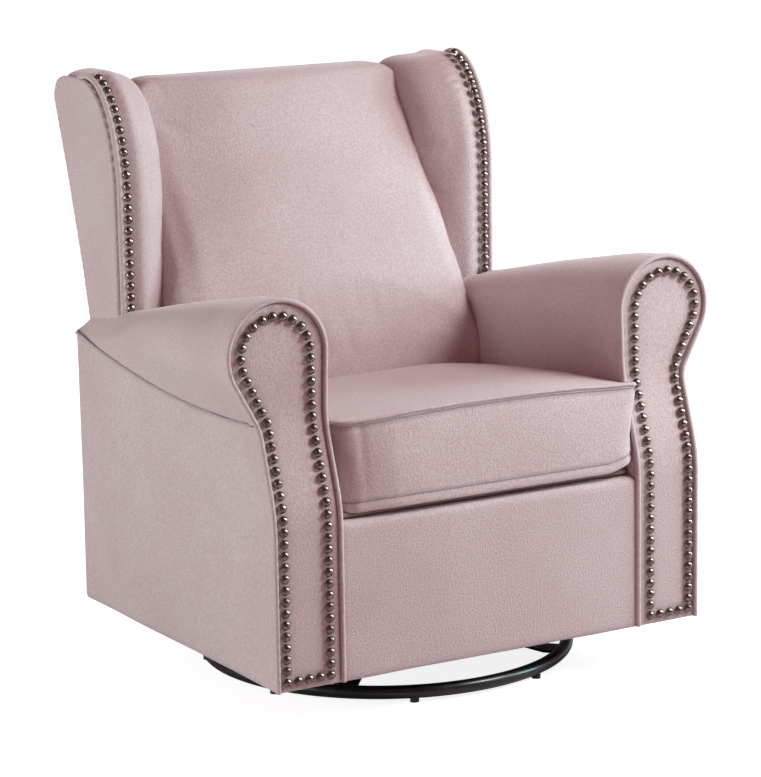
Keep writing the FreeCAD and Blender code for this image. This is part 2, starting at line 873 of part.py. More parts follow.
def front_apron():
    half = arm_inner_x - seat_gap
    y0 = front_y + apron_setback
    apron = block(-half, half, y0, y0 + apron_t - seat_gap, skirt_z, apron_top_z)
    return apron.makeFillet(apron_round, edges_along_x(apron, y0, apron_top_z))


# Back

def bow_circle():
    """Centre and radius of the bow that the back's rear face follows above the bend."""
    rise = wing_top_z - back_bend_z
    chord = math.hypot(back_lean_y, rise)
    r = chord ** 2 / (8 * back_bow) + back_bow / 2
    ny = rise / chord
    nz = -back_lean_y / chord
    cy = rear_y + back_lean_y / 2 + ny * (r - back_bow)
    cz = back_bend_z + rise / 2 + nz * (r - back_bow)
    return cy, cz, r


def back_y(depth, z):
    """Place of a layer of the back, at a depth in front of its rear face."""
    cy, cz, r = bow_circle()
    height = max(z, back_bend_z)
    return cy - math.sqrt((r + depth) ** 2 - (height - cz) ** 2)


def layer_line(depth, z0, z1):
    """Edges of a layer's side line from z0 up to z1."""
    edges = []
    bend = min(max(z0, back_bend_z), z1)
    if z0 < bend:
        edges.append(line(V(0, back_y(depth, z0), z0), V(0, back_y(depth, bend), bend)))
    if bend < z1:
        edges.append(arc(*[V(0, back_y(depth, z), z) for z in (bend, (bend + z1) / 2, z1)]))
    return edges


def back_layer(d0, d1, z0, z1, x0, x1):
    """A layer of the back between two depths."""
    edges = layer_line(d0, z0, z1) + layer_line(d1, z0, z1)
    for z in (z0, z1):
        edges.append(line(V(0, back_y(d0, z), z), V(0, back_y(d1, z), z)))
    layer = Part.Face(Part.Wire(Part.__sortEdges__(edges))).extrude(V(x1 - x0, 0, 0))
    layer.translate(V(x0, 0, 0))
    return layer


def post_depths():
    return panel_t + seat_gap, panel_t + seat_gap + post_t


def post_front():
    return back_y(post_depths()[1], frame_z)


def back_post():
    d0, d1 = post_depths()
    return back_layer(d0, d1, frame_z, back_top_z, post_outer_x - post_w, post_outer_x)


def back_rail(z):
    d0, d1 = post_depths()
    half = post_outer_x - post_w - seat_gap
    return back_layer(d0, d1, z, z + back_rail_h, -half, half)


def back_straps():
    d1 = post_depths()[1] + seat_gap
    low = back_rail_z + back_rail_h
    high = back_top_z - back_rail_h
    gap = (high - low - strap_count * strap_h) / (strap_count + 1)
    straps = []
    for i in range(strap_count):
        z = low + gap + i * (strap_h + gap)
        straps.append(back_layer(d1, d1 + strap_t, z, z + strap_h, -post_outer_x, post_outer_x))
    return Part.makeCompound(straps)


def outside_back():
    half = wing_panel_x - seat_gap
    return back_layer(0, panel_t, back_bend_z, back_top_z, -half, half)


def rear_panel():
    half = side_panel_x - seat_gap
    return block(-half, half, rear_y - panel_t, rear_y, skirt_z, back_bend_z - 2 * seat_gap)


def back_cushion_rear_depth():
    return post_depths()[1] + strap_t + 3 * seat_gap


def back_cushion():
    """Wedge cushion: an upright lumbar face, a raked crowned face and a lip over the back."""
    rear_depth = back_cushion_rear_depth()
    front = back_cushion_front()
    lift = deck_top() - front_rail_top
    rear = back_y(rear_depth, frame_z)
    top = back_cushion_top
    lip = back_top_z + seat_gap
    lip_y = back_y(back_cushion_lip, top)
    edge_y = lip_y - back_cushion_top_depth
    rake = (edge_y - front) / (top - back_cushion_lumbar_z)
    turn = math.atan(rake)
    corner = V(0, front, back_cushion_lumbar_z)
    bend = corner + V(0, back_cushion_soft_r, -back_cushion_soft_r * math.tan(turn / 2))
    soft = []
    for angle in (0, turn / 2, turn):
        soft.append(bend + V(0, -math.cos(angle), math.sin(angle)) * back_cushion_soft_r)
    edges = [line(V(0, rear, seat_plane(rear) + lift), V(0, front, seat_plane(front) + lift))]
    edges.append(line(V(0, front, seat_plane(front) + lift), soft[0]))
    edges.append(arc(*soft))
    edges.append(line(soft[2], V(0, edge_y, top)))
    edges.append(line(V(0, edge_y, top), V(0, lip_y, top)))
    edges.append(line(V(0, lip_y, top), V(0, back_y(back_cushion_lip, lip), lip)))
    edges.append(line(V(0, back_y(back_cushion_lip, lip), lip), V(0, back_y(rear_depth, lip), lip)))
    edges += layer_line(rear_depth, seat_plane(rear) + lift, lip)
    wedge = Part.Face(Part.Wire(Part.__sortEdges__(edges))).extrude(V(far, 0, 0))
    wedge.translate(V(-far / 2, 0, 0))
    wedge = wedge.makeFillet(back_cushion_top_r, edges_along_x(wedge, edge_y, top))
    wedge = wedge.makeFillet(back_cushion_lip_r, edges_along_x(wedge, lip_y, top))
    low = back_cushion_half_low
    high = back_cushion_half_top
    shape = [V(-low, 0, frame_z), V(low, 0, frame_z), V(low, 0, back_cushion_lumbar_z)]
    shape += [V(high, 0, top), V(-high, 0, top), V(-low, 0, back_cushion_lumbar_z)]
    outline = polygon_prism(shape, V(0, body_depth, 0))
    tops = [e for e in outline.Edges if e.BoundBox.YLength > body_depth / 2 and e.CenterOfMass.z > back_cushion_lumbar_z]
    outline = outline.makeFillet(back_cushion_corner_r, tops)
    along = V(0, rake, 1).normalize()
    inward = V(0, 1, -rake).normalize()
    centre = corner + inward * (back_cushion_crown_r + back_cushion_skin)
    crown = rod(2 * back_cushion_crown_r, centre - along * (far / 2), along * far)
    return wedge.common(outline).common(crown)


# Wings

def wing_curve(bulge):
    """Quarter ellipse from the wing's upright front to its top."""
    centre = V(0, wing_front_y + wing_curve_y, wing_curve_z)
    top = centre + V(0, 0, wing_top_z - wing_curve_z + bulge)
    side = centre - V(0, wing_curve_y + bulge, 0)
    return Part.ArcOfEllipse(Part.Ellipse(top, side, centre), 0, math.pi / 2).toShape()


def wing_slab(bulge, rear_depth, x0, x1):
    """The wing's side outline as a slab between two places in X, with its rear corner rounded."""
    top = wing_top_z + bulge
    front = wing_front_y - bulge
    curve_end = V(0, wing_front_y + wing_curve_y, top)
    rear_low = back_y(rear_depth, wing_low_rear_z)
    rear_top = back_y(rear_depth, top)
    edges = [line(V(0, front, wing_low_front_z), V(0, front, wing_curve_z)), wing_curve(bulge)]
    edges.append(line(curve_end, V(0, rear_top, top)))
    edges += layer_line(rear_depth, wing_low_rear_z, top)
    edges.append(line(V(0, rear_low, wing_low_rear_z), V(0, front, wing_low_front_z)))
    slab = Part.Face(Part.Wire(Part.__sortEdges__(edges))).extrude(V(x1 - x0, 0, 0))
    slab.translate(V(x0, 0, 0))
    return slab.makeFillet(wing_rear_r, edges_along_x(slab, rear_top, top))


def above_arm(shape, scroll):
    """What stands on the arm, cut to the shape of the scroll."""
    raised = scroll.copy()
    raised.translate(V(0, 0, seat_gap))
    return shape.cut(raised)


def wing_panel(scroll):
    return above_arm(wing_slab(0, 0, wing_panel_x, wing_outer_x), scroll)


def wing_pad(scroll):
    """Padded inside of the wing, with a rounded inner edge."""
    pad = wing_slab(wing_pad_bulge, panel_t + seat_gap, wing_inner_x, wing_panel_x - seat_gap)
    inner = [e for e in pad.Edges if e.BoundBox.XMax < wing_inner_x + 0.1 and e.CenterOfMass.z > wing_low_rear_z]
    rear = back_y(panel_t, wing_low_rear_z)
    front = [e for e in inner if e.CenterOfMass.y < rear]
    return above_arm(pad.makeFillet(wing_pad_round, front), scroll)


def wing_welt(scroll):
    """Raised cord along the front and top of the wing's outer panel."""
    x0 = wing_outer_x - wing_welt_w
    strip = wing_slab(wing_pad_bulge, 0, x0, wing_outer_x).cut(wing_slab(0, 0, x0, wing_outer_x))
    end = wing_front_y + wing_curve_y + wing_welt_run
    strip = strip.common(block(x0, wing_outer_x, front_y, end, wing_low_front_z, wing_top_z + wing_curve_y))
    return above_arm(strip, scroll)


def wing_nails():
    """A row of nails up the wing's front line, from the arm nearly to the top."""
    front = wing_front_y - wing_pad_bulge
    start = V(0, front, arm_top(front) + wing_nail_lift)
    rise = wing_curve_z - start.z
    curve = wing_curve(wing_pad_bulge)
    length = rise + curve.Length * wing_nail_end
    count = round(length / nail_pitch) + 1
    centre = V(0, wing_front_y + wing_curve_y, wing_curve_z)
    half_y = wing_curve_y + wing_pad_bulge
    half_z = wing_top_z - wing_curve_z + wing_pad_bulge
    heads = []
    for i in range(count):
        run = length * i / (count - 1)
        place = start + V(0, 0, run)
        out = V(0, -1, 0)
        if run > rise:
            place = curve.valueAt(curve.getParameterByLength(curve.Length - (run - rise)))
            out = V(0, (place.y - centre.y) / half_y ** 2, (place.z - centre.z) / half_z ** 2).normalize()
        heads.append(nail(place + V(wing_nail_x, 0, 0), out))
    return both(Part.makeCompound(heads))


# Everything by name

parts = {}
ring = base_ring()
parts["base_ring"] = ring
parts["floor_glides"] = floor_glides(ring)
parts["base_spokes"] = base_spokes()
parts["lower_race"] = race(hub_top)
parts["bearing_balls"] = bearing_balls()
parts["kingpin"] = kingpin()
parts["kingpin_nut"] = kingpin_nut()
parts["upper_race"] = race(upper_race_z)
parts["turntable"] = turntable()
parts["stand_tie_bars"] = stand_tie_bars()
parts["upper_pivot_pins"] = upper_pivot_pins()
parts["lower_pivot_pins"] = lower_pivot_pins()
parts["cross_tubes"] = cross_tubes()
parts["frame_bolts"] = frame_bolts()
parts["seat_front_rail"] = cross_rail(front_rail_y)
parts["seat_rear_rail"] = cross_rail(rear_rail_y())
parts["corner_blocks"] = corner_blocks()
parts["seat_webbing"] = seat_webbing()
parts["webbing_clips"] = webbing_clips()
parts["seat_deck"] = seat_deck()
parts["seat_cushion"] = seat_cushion()
parts["front_apron"] = front_apron()
parts["rear_panel"] = rear_panel()
parts["back_bottom_rail"] = back_rail(back_rail_z)
parts["back_top_rail"] = back_rail(back_top_z - back_rail_h)
parts["back_straps"] = back_straps()
parts["outside_back"] = outside_back()
parts["back_cushion"] = back_cushion()
parts["arm_posts"] = arm_posts()
parts["arm_rails"] = arm_rails()
parts["facing_welts"] = both(facing_welt())
parts["facing_nails"] = facing_nails()
scroll = arm_scroll()
parts["wing_welts"] = both(wing_welt(scroll))
parts["wing_nails"] = wing_nails()

pairs = {
    "glider_stand": glider_stand(),
    "swing_link_front": swing_link(-pivot_y),
    "swing_link_rear": swing_link(pivot_y),
    "carriage_rail": carriage_rail(),
    "seat_side_rail": seat_side_rail(),
    "back_post": back_post(),
    "arm_facing": arm_facing(),
    "side_panel": side_panel(),
    "inner_arm": inner_arm(),
    "arm_scroll": scroll,
    "wing_panel": wing_panel(scroll),
    "wing_pad": wing_pad(scroll),
}
for name, shape in pairs.items():
    parts[name + "_left"] = left_of(shape)
    parts[name + "_right"] = shape

# The origin goes under the middle of the outline, between the nails in front and the wings' rear corners
front_most = parts["facing_nails"].optimalBoundingBox(False).YMin
rear_most = parts["wing_panel_right"].optimalBoundingBox(False).YMax
shift = V(0, -(front_most + rear_most) / 2, 0)
print("swivel axis at y =", round(shift.y, 3))

os.makedirs("parts", exist_ok=True)
for name, shape in parts.items():
    placed = shape.copy()
    placed.translate(shift)
    placed.exportStep("parts/" + name + ".step")
    print(name, "solids", len(placed.Solids), "valid", placed.isValid(), "litres", round(placed.Volume / 1e6, 4))
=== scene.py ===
# %% [markdown]
# # A wingback swivel glider, dressed
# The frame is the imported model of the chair: a ring base, a turntable, four swing
# links and the upholstered body that hangs on them. Loading it first means that
# every cover, nail and cord below can be laid straight onto the solid it belongs to.

# %% Load the frame
import json
import math
import bmesh
import bpy
from mathutils import Matrix, Vector, noise
from mathutils.bvhtree import BVHTree
from mathutils.kdtree import KDTree


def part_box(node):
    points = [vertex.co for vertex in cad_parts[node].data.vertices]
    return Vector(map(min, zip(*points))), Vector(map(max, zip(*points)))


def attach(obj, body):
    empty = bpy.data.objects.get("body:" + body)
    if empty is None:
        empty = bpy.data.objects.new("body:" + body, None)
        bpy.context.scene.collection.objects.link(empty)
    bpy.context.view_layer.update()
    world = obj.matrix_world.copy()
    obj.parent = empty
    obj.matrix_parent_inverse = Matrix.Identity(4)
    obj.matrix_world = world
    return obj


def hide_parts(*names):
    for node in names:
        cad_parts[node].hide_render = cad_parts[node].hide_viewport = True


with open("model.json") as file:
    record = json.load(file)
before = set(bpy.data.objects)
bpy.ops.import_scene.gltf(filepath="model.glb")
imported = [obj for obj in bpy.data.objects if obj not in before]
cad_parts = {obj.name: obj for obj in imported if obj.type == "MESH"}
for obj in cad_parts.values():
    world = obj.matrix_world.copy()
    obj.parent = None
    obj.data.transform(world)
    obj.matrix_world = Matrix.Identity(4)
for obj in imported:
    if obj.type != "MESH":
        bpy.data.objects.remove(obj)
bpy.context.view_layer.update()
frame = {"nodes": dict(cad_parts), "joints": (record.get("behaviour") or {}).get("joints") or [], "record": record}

SIDES = {"left": -1, "right": 1}
scene = bpy.context.scene
nodes = frame["nodes"]

# %% [markdown]
# ## The camera
# The chair was photographed with a long lens from a little above its top, in front of
# it and to the left (-X). Its turn is built as a photographer would make it: roll the
# camera, tilt it down, then carry it round the chair. Written as three turns, that
# leaves no doubt about their order.

# %% Camera
IMAGE_H = 777
FOCAL_PX = 3052.2
CAMERA_AT = Vector((-2.42133, -4.13702, 1.39085))
CAMERA_AZ, CAMERA_EL, CAMERA_ROLL = (math.radians(a) for a in (-30.612, 11.448, -0.952))
lens = bpy.data.cameras.new("camera")
lens.sensor_width = 36
lens.lens = FOCAL_PX * lens.sensor_width / IMAGE_H
lens.clip_end = 50
camera = bpy.data.objects.new("camera", lens)
tilted = Matrix.Rotation(math.pi / 2 - CAMERA_EL, 4, "X") @ Matrix.Rotation(CAMERA_ROLL, 4, "Z")
camera.matrix_world = Matrix.Translation(CAMERA_AT) @ Matrix.Rotation(CAMERA_AZ, 4, "Z") @ tilted
scene.collection.objects.link(camera)
scene.camera = camera
print("camera lens", round(lens.lens, 1), "mm")

# %% [markdown]
# ## Helpers
# Operators act on whatever is selected, so one helper makes a piece the only
# selected one. Another gives it a modifier and applies it at once, as a maker would
# once a shape is right. A soft piece is begun from the solid that it covers: the copy
# is merged, remeshed into even quads and smoothed, which rounds its edges as wadding does.

# %% Helpers for selecting, applying and copying
MERGE_GAP = 0.00002


def enter(mode):
    bpy.ops.object.mode_set(mode=mode)


def only(piece):
    """Make a piece the only selected and active one."""
    bpy.ops.object.select_all(action="DESELECT")
    piece.select_set(True)
    bpy.context.view_layer.objects.active = piece


def set_all(item, values):
    for label, value in values.items():
        setattr(item, label, value)


def modify(piece, kind, **values):
    """Give a piece a modifier and apply it."""
    modifier = piece.modifiers.new(kind.lower(), kind)
    set_all(modifier, values)
    only(piece)
    bpy.ops.object.modifier_apply(modifier=modifier.name)


def solid_copy(node, name):
    """A merged copy of a solid of the frame, as a new piece."""
    piece = bpy.data.objects.new(name, nodes[node].data.copy())
    piece.data.name = name
    piece.data.materials.clear()
    scene.collection.objects.link(piece)
    only(piece)
    enter("EDIT")
    bpy.ops.mesh.select_all(action="SELECT")
    bpy.ops.mesh.remove_doubles(threshold=MERGE_GAP)
    bpy.ops.mesh.normals_make_consistent(inside=False)
    enter("OBJECT")
    return piece


def joined(pieces, name):
    """Several objects as one piece."""
    only(pieces[0])
    for piece in pieces:
        piece.select_set(True)
    bpy.ops.object.join()
    piece = bpy.context.view_layer.objects.active
    piece.name = name
    piece.data.name = name
    return piece


def soften(piece, rounds):
    modify(piece, "SMOOTH", iterations=rounds, factor=0.5)


def soften_quads(piece, size, rounds):
    """Remesh a piece into even quads and round its edges, the start of a soft piece."""
    modify(piece, "REMESH", mode="VOXEL", voxel_size=size)
    soften(piece, rounds)
    return piece


def subdivide_once(piece):
    modify(piece, "SUBSURF", levels=1, render_levels=1)


def move_points(piece, move):
    """Move each point by what a function of its place and normal gives."""
    normals = [v.normal.copy() for v in piece.data.vertices]
    for vertex, normal in zip(piece.data.vertices, normals):
        vertex.co += move(vertex.co.copy(), normal)
    piece.data.update()


def clamp(value):
    """A value kept between 0 and 1."""
    return min(1.0, max(0.0, value))


def dent(distance, width):
    """A soft dent: 1 at its middle, fading over a width."""
    return math.exp(-(distance / width) ** 2)


def ramp(value, start, end):
    """0 at a start, 1 at an end, eased in between."""
    t = clamp((value - start) / (end - start))
    return t * t * (3 - 2 * t)


def surface_of(piece):
    """A piece's surface, ready for finding points on it."""
    bm = bmesh.new()
    bm.from_mesh(piece.data)
    tree = BVHTree.FromBMesh(bm)
    bm.free()
    return tree


def laid_on(piece, places, proud):
    """Places moved to the nearest point of a piece's surface, standing a little proud."""
    tree = surface_of(piece)
    path = []
    for place in places:
        co, normal = tree.find_nearest(place)[:2]
        path.append(co + normal * proud)
    return path


def cast_on(pieces, places, way, proud):
    """Places cast from one side onto the nearest of some pieces."""
    trees = [surface_of(piece) for piece in pieces]
    path = []
    for place in places:
        hits = [tree.ray_cast(place, way) for tree in trees]
        hits = [hit for hit in hits if hit[0] is not None]
        if hits:
            path.append(min(hits, key=lambda hit: hit[3])[0] - way * proud)
    return path


print("a dent keeps", round(dent(1, 1), 2), "of its depth one width away")

# %% [markdown]
# ## Fabric
# The cover is a brushed, suede-like upholstery cloth in a dusty blush pink. From a
# step away it has a fine pebbled grain, soft cloudy patches where the nap was
# stroked one way or the other, and a pale sheen where it turns from the eye. Grain
# and nap go into one node group, so that every cover shares the same cloth.

# %% Cloth group and the blush fabric
GRAIN_SCALE, PEBBLE_SCALE, NAP_SCALE = 640, 300, 7
GRAIN_SHARE, PEBBLE_SHARE = 0.45, 0.55
CLOTH_ROUGH, PILE_ROUGH = 0.58, 0.25
SPOT_RANGE, NAP_RANGE = (0.41, 0.59), (0.3, 0.7)
PAINTED_SHADE_DARK = 0.22
MIX_INPUTS, MIX_OUTPUT = (0, 6, 7), 2
BLUSH = (0.605, 0.500, 0.505)
BLUSH_SHADE = (0.42, 0.297, 0.305)
LINING, LINING_SHADE = (0.3, 0.22, 0.22), (0.22, 0.16, 0.16)


def feed(node, values):
    """Give a node's inputs their values, or links where a value is another node's socket."""
    for label, value in values.items():
        if isinstance(value, bpy.types.NodeSocket):
            node.id_data.links.new(value, node.inputs[label])
        else:
            node.inputs[label].default_value = value


def make_group(name, inputs, outputs):
    """An empty shader group with sockets, given as names with their kinds."""
    group = bpy.data.node_groups.new(name, "ShaderNodeTree")
    for way, sockets in (("INPUT", inputs), ("OUTPUT", outputs)):
        for label, kind in sockets.items():
            group.interface.new_socket(label, in_out=way, socket_type="NodeSocket" + kind)
    return group, group.nodes.new("NodeGroupInput"), group.nodes.new("NodeGroupOutput")


def object_place(tree):
    return tree.nodes.new("ShaderNodeTexCoord").outputs["Object"]


def mark_node(tree, name):
    """What an attribute of the mesh marks, as a value."""
    node = tree.nodes.new("ShaderNodeAttribute")
    node.attribute_name = name
    return node.outputs["Fac"]


def noise_node(tree, place, scale, detail, roughness):
    node = tree.nodes.new("ShaderNodeTexNoise")
    feed(node, {"Vector": place, "Detail": detail, "Roughness": roughness, "Scale": scale})
    return node.outputs["Fac"]


def math_node(tree, operation, a, b):
    node = tree.nodes.new("ShaderNodeMath")
    node.operation = operation
    feed(node, {0: a, 1: b})
    return node.outputs[0]


def mix_colour(tree, factor, a, b):
    node = tree.nodes.new("ShaderNodeMix")
    node.data_type = "RGBA"
    feed(node, dict(zip(MIX_INPUTS, (factor, a, b))))
    return node.outputs[MIX_OUTPUT]


def ramp_node(tree, value, low, high):
    """Black up to a low value, white from a high one."""
    node = tree.nodes.new("ShaderNodeValToRGB")
    for element, at in zip(node.color_ramp.elements, (low, high)):
        element.position = at
    feed(node, {0: value})
    return node.outputs[0]


cloth, ins, outs = make_group(
    "brushed_cloth", {"Colour": "Color", "Shade": "Color", "Grain": "Float", "Nap": "Float"},
    {"Colour": "Color", "Roughness": "Float", "Height": "Float"})
place = object_place(cloth)
grain = noise_node(cloth, place, GRAIN_SCALE, detail=2, roughness=0.6)
pebble = noise_node(cloth, place, PEBBLE_SCALE, detail=2, roughness=0.5)
nap = noise_node(cloth, place, NAP_SCALE, detail=3, roughness=0.55)
pile = math_node(cloth, "ADD", math_node(cloth, "MULTIPLY", grain, GRAIN_SHARE),
                 math_node(cloth, "MULTIPLY", pebble, PEBBLE_SHARE))
spots = math_node(cloth, "MULTIPLY", ramp_node(cloth, pile, *SPOT_RANGE), ins.outputs["Grain"])
patches = math_node(cloth, "MULTIPLY", ramp_node(cloth, nap, *NAP_RANGE), ins.outputs["Nap"])
grained = mix_colour(cloth, spots, ins.outputs["Colour"], ins.outputs["Shade"])
napped = mix_colour(cloth, patches, grained, ins.outputs["Shade"])
rough = math_node(cloth, "ADD", CLOTH_ROUGH, math_node(cloth, "MULTIPLY", pile, PILE_ROUGH))
feed(outs, {"Colour": napped, "Roughness": rough, "Height": pile})


def new_material(name):
    material = bpy.data.materials.new(name)
    material.use_nodes = True
    return material, material.node_tree, material.node_tree.nodes["Principled BSDF"]


def bump_into(tree, shader, height, strength, distance):
    bump = tree.nodes.new("ShaderNodeBump")
    feed(bump, {"Strength": strength, "Distance": distance, "Height": height})
    feed(shader, {"Normal": bump.outputs["Normal"]})


def cloth_material(name, colour, shade, grain, nap, sheen):
    """Fabric from the cloth group, with painted shade where an attribute marks a crease or a seam."""
    material, tree, shader = new_material(name)
    node = tree.nodes.new("ShaderNodeGroup")
    node.node_tree = cloth
    feed(node, {"Colour": (*colour, 1), "Shade": (*shade, 1), "Grain": grain, "Nap": nap})
    # Painted shade: creases and seams are darkened towards a fraction of the shade colour.
    dark = tuple(c * PAINTED_SHADE_DARK for c in shade) + (1,)
    shaded_base = mix_colour(tree, mark_node(tree, "painted_shade"), node.outputs["Colour"], dark)
    feed(shader, {"Base Color": shaded_base, "Roughness": node.outputs["Roughness"], "Specular IOR Level": 0.32,
                  "Sheen Weight": sheen, "Sheen Roughness": 0.45, "Sheen Tint": (1.0, 0.93, 0.93, 1)})
    bump_into(tree, shader, node.outputs["Height"], strength=0.75, distance=0.002)
    return material


blush = cloth_material("blush_suede", BLUSH, BLUSH_SHADE, grain=0.6, nap=0.3, sheen=0.4)
deck_cloth = cloth_material("deck_lining", LINING, LINING_SHADE, grain=0.3, nap=0.2, sheen=0.1)
print("fabrics:", blush.name, deck_cloth.name)

# %% [markdown]
# ## Metal, wood and webbing
# The nail heads are antiqued: grey-brown on the worn crowns, and black in the rims
# with painted shadow. The ring is black enamel with a soft gloss. The mechanism is
# zinc-plated steel and the rails are sawn hardwood, both seen only from below.

# %% Hard materials
WORN_RANGE, GLOSS_WANDER = (0.35, 0.65), 0.12
RIM_SHADOW_BLACK = (0.012, 0.009, 0.008, 1)
LIGHT_WOOD, DARK_WOOD = (0.40, 0.26, 0.14, 1), (0.27, 0.16, 0.08, 1)
WOOD_RANGE, WOOD_STRETCH, WOOD_SCALE = (0.4, 0.62), (1, 1, 9), 22


def patina_material(name, light, dark, metallic, rough, scale, bump, coat=0.0):
    """A hard finish whose colour and gloss wander between two shades, with painted shadow in black where a nail's
    rim is marked.
    """
    material, tree, shader = new_material(name)
    cloud = noise_node(tree, object_place(tree), scale, detail=4, roughness=0.6)
    blend = ramp_node(tree, cloud, *WORN_RANGE)
    worn = mix_colour(tree, blend, (*light, 1), (*dark, 1))
    # Painted shadow: the marked rim of a nail is black, as if shaded where it meets the cloth.
    rim_shadowed = mix_colour(tree, mark_node(tree, "painted_rim_shadow"), worn, RIM_SHADOW_BLACK)
    gloss = math_node(tree, "ADD", rough, math_node(tree, "MULTIPLY", blend, GLOSS_WANDER))
    feed(shader, {"Base Color": rim_shadowed, "Roughness": gloss, "Metallic": metallic,
                  "Coat Weight": coat, "Coat Roughness": 0.12})
    bump_into(tree, shader, cloud, bump, distance=0.0004)
    return material


def wood_material(name):
    material, tree, shader = new_material(name)
    mapping = tree.nodes.new("ShaderNodeMapping")
    feed(mapping, {"Scale": WOOD_STRETCH, "Vector": object_place(tree)})
    grain = noise_node(tree, mapping.outputs["Vector"], WOOD_SCALE, detail=6, roughness=0.6)
    rings = mix_colour(tree, ramp_node(tree, grain, *WOOD_RANGE), LIGHT_WOOD, DARK_WOOD)
    feed(shader, {"Base Color": rings, "Roughness": 0.65})
    bump_into(tree, shader, grain, strength=0.2, distance=0.0006)
    return material


FINISH = {
    "blush_fabric": blush, "deck_cloth": deck_cloth, "frame_wood": wood_material("sawn_hardwood"),
    "nail_bronze": patina_material("antique_nail", (0.38, 0.275, 0.25), (0.10, 0.066, 0.057),
                                   metallic=1.0, rough=0.24, scale=260, bump=0.15),
    "black_steel": patina_material("black_enamel", (0.004, 0.004, 0.0045), (0.008, 0.008, 0.008),
                                   metallic=0.0, rough=0.3, scale=60, bump=0.05, coat=0.3),
    "glide_plastic": patina_material("black_nylon", (0.02, 0.02, 0.02), (0.03, 0.03, 0.03),
                                     metallic=0.0, rough=0.5, scale=200, bump=0.1),
    "mechanism_steel": patina_material("zinc_plate", (0.55, 0.56, 0.58), (0.42, 0.43, 0.45),
                                       metallic=1.0, rough=0.32, scale=90, bump=0.05),
    "webbing": patina_material("webbing_band", (0.05, 0.05, 0.05), (0.02, 0.02, 0.02),
                               metallic=0.0, rough=0.8, scale=700, bump=0.5)}
for part in frame["record"]["subparts"]:
    solid = nodes[part["node"]]
    solid.data.materials.clear()
    solid.data.materials.append(FINISH[part["material_slot"]])
print("finishes:", ", ".join(m.name for m in FINISH.values()))


def finish_piece(piece, replaced=(), body="chair", slot="blush_fabric"):
    """Give a piece its material, let it ride on a body and hide the solids that it replaces."""
    piece.data.materials.clear()
    piece.data.materials.append(FINISH[slot])
    only(piece)
    bpy.ops.object.shade_smooth()
    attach(piece, body)
    if replaced:
        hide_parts(*replaced)
    print(piece.name, len(piece.data.polygons), "faces")
    return piece


def mark(piece, name, values):
    """Store a value for each point, for the material to paint shade with: in creases and seams of the cloth, and
    on the rims of the nails.
    """
    layer = piece.data.attributes.new(name, "FLOAT", "POINT")
    layer.data.foreach_set("value", values)


# %% [markdown]
# ## Filling the cushions
# A cushion is a sewn cover round foam. The cover is held along its seams and swells
# between them, which is what a short cloth simulation with inside pressure does. The
# seams are pinned, the swelling is capped so that the cushion keeps its size, and one
# subdivision gives a smooth skin.

# %% Pressure filling
FILL_FRAMES = 14
FILL_CLOTH = {"quality": 4, "mass": 0.3, "tension_stiffness": 12, "compression_stiffness": 12,
              "shear_stiffness": 4, "bending_stiffness": 0.6, "use_pressure": True}


def fill_cover(piece, held, pressure, cap):
    """Swell a cover by cloth simulation; held gives how firmly a point is pinned."""
    rest = [v.co.copy() for v in piece.data.vertices]
    group = piece.vertex_groups.new(name="held")
    for vertex in piece.data.vertices:
        group.add([vertex.index], held(vertex.co), "REPLACE")
    only(piece)
    filling = piece.modifiers.new("filling", "CLOTH")
    set_all(filling.settings, FILL_CLOTH)
    filling.settings.uniform_pressure_force = pressure
    filling.settings.vertex_group_mass = group.name
    filling.settings.effector_weights.gravity = 0
    filling.collision_settings.use_collision = False
    filling.point_cache.frame_start = 1
    filling.point_cache.frame_end = FILL_FRAMES
    for step in range(1, FILL_FRAMES + 1):
        scene.frame_set(step)
    bpy.ops.object.modifier_apply(modifier=filling.name)
    scene.frame_set(1)
    piece.vertex_groups.clear()
    for vertex, start in zip(piece.data.vertices, rest):
        swell = vertex.co - start
        if swell.length > cap:
            vertex.co = start + swell * (cap / swell.length)
    piece.data.update()


print("each cover is filled over", FILL_FRAMES, "frames")

# %% [markdown]
# ## The shape lines of the arms
# The facings and their piping follow two lines that are drawn once here: the arm's
# front outline, a leg that narrows into a neck under a round scroll, and the slow
# double bend of the facing seen from the side.

# %% Front outline and side line of an arm
facing_low, facing_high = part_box("arm_facing_right")
SWIVEL_Y = frame["joints"][0]["pos_m"][1]
FRONT_Y = facing_low.y
ARM_IN = facing_low.x
ARM_OUT = 0.378
SKIRT_Z = facing_low.z
SCROLL_R = (facing_high.x - facing_low.x) / 2
SCROLL_Z = facing_high.z - SCROLL_R
NECK_Z, NECK_R = 0.458, 0.060
SETBACK, LEAN, BEND_R, BEND_Z = 0.042, math.radians(18), 0.180, 0.308
RISE = BEND_R * math.sin(LEAN)
STRAIGHT = SETBACK - 2 * BEND_R * (1 - math.cos(LEAN))
UPRIGHT_Z = BEND_Z + 2 * RISE + STRAIGHT / math.tan(LEAN)
FACING_T = 0.024
TRIM, TRIM_RUN = 0.004, 0.12


def facing_y(z):
    """How far back the facing's front lies at a height, and how much it leans there."""
    if z <= BEND_Z:
        return FRONT_Y, 0.0
    if z >= UPRIGHT_Z:
        return FRONT_Y + SETBACK, 0.0
    if z <= BEND_Z + RISE:
        angle = math.asin((z - BEND_Z) / BEND_R)
        return FRONT_Y + BEND_R * (1 - math.cos(angle)), angle
    if z >= UPRIGHT_Z - RISE:
        angle = math.asin((UPRIGHT_Z - z) / BEND_R)
        return FRONT_Y + SETBACK - BEND_R * (1 - math.cos(angle)), angle
    start = FRONT_Y + BEND_R * (1 - math.cos(LEAN))
    return start + (z - BEND_Z - RISE) * math.tan(LEAN), LEAN


def trim(z):
    """How far the facing's inner edge is drawn outwards below the scroll."""
    return TRIM * clamp((SCROLL_Z - z) / TRIM_RUN)


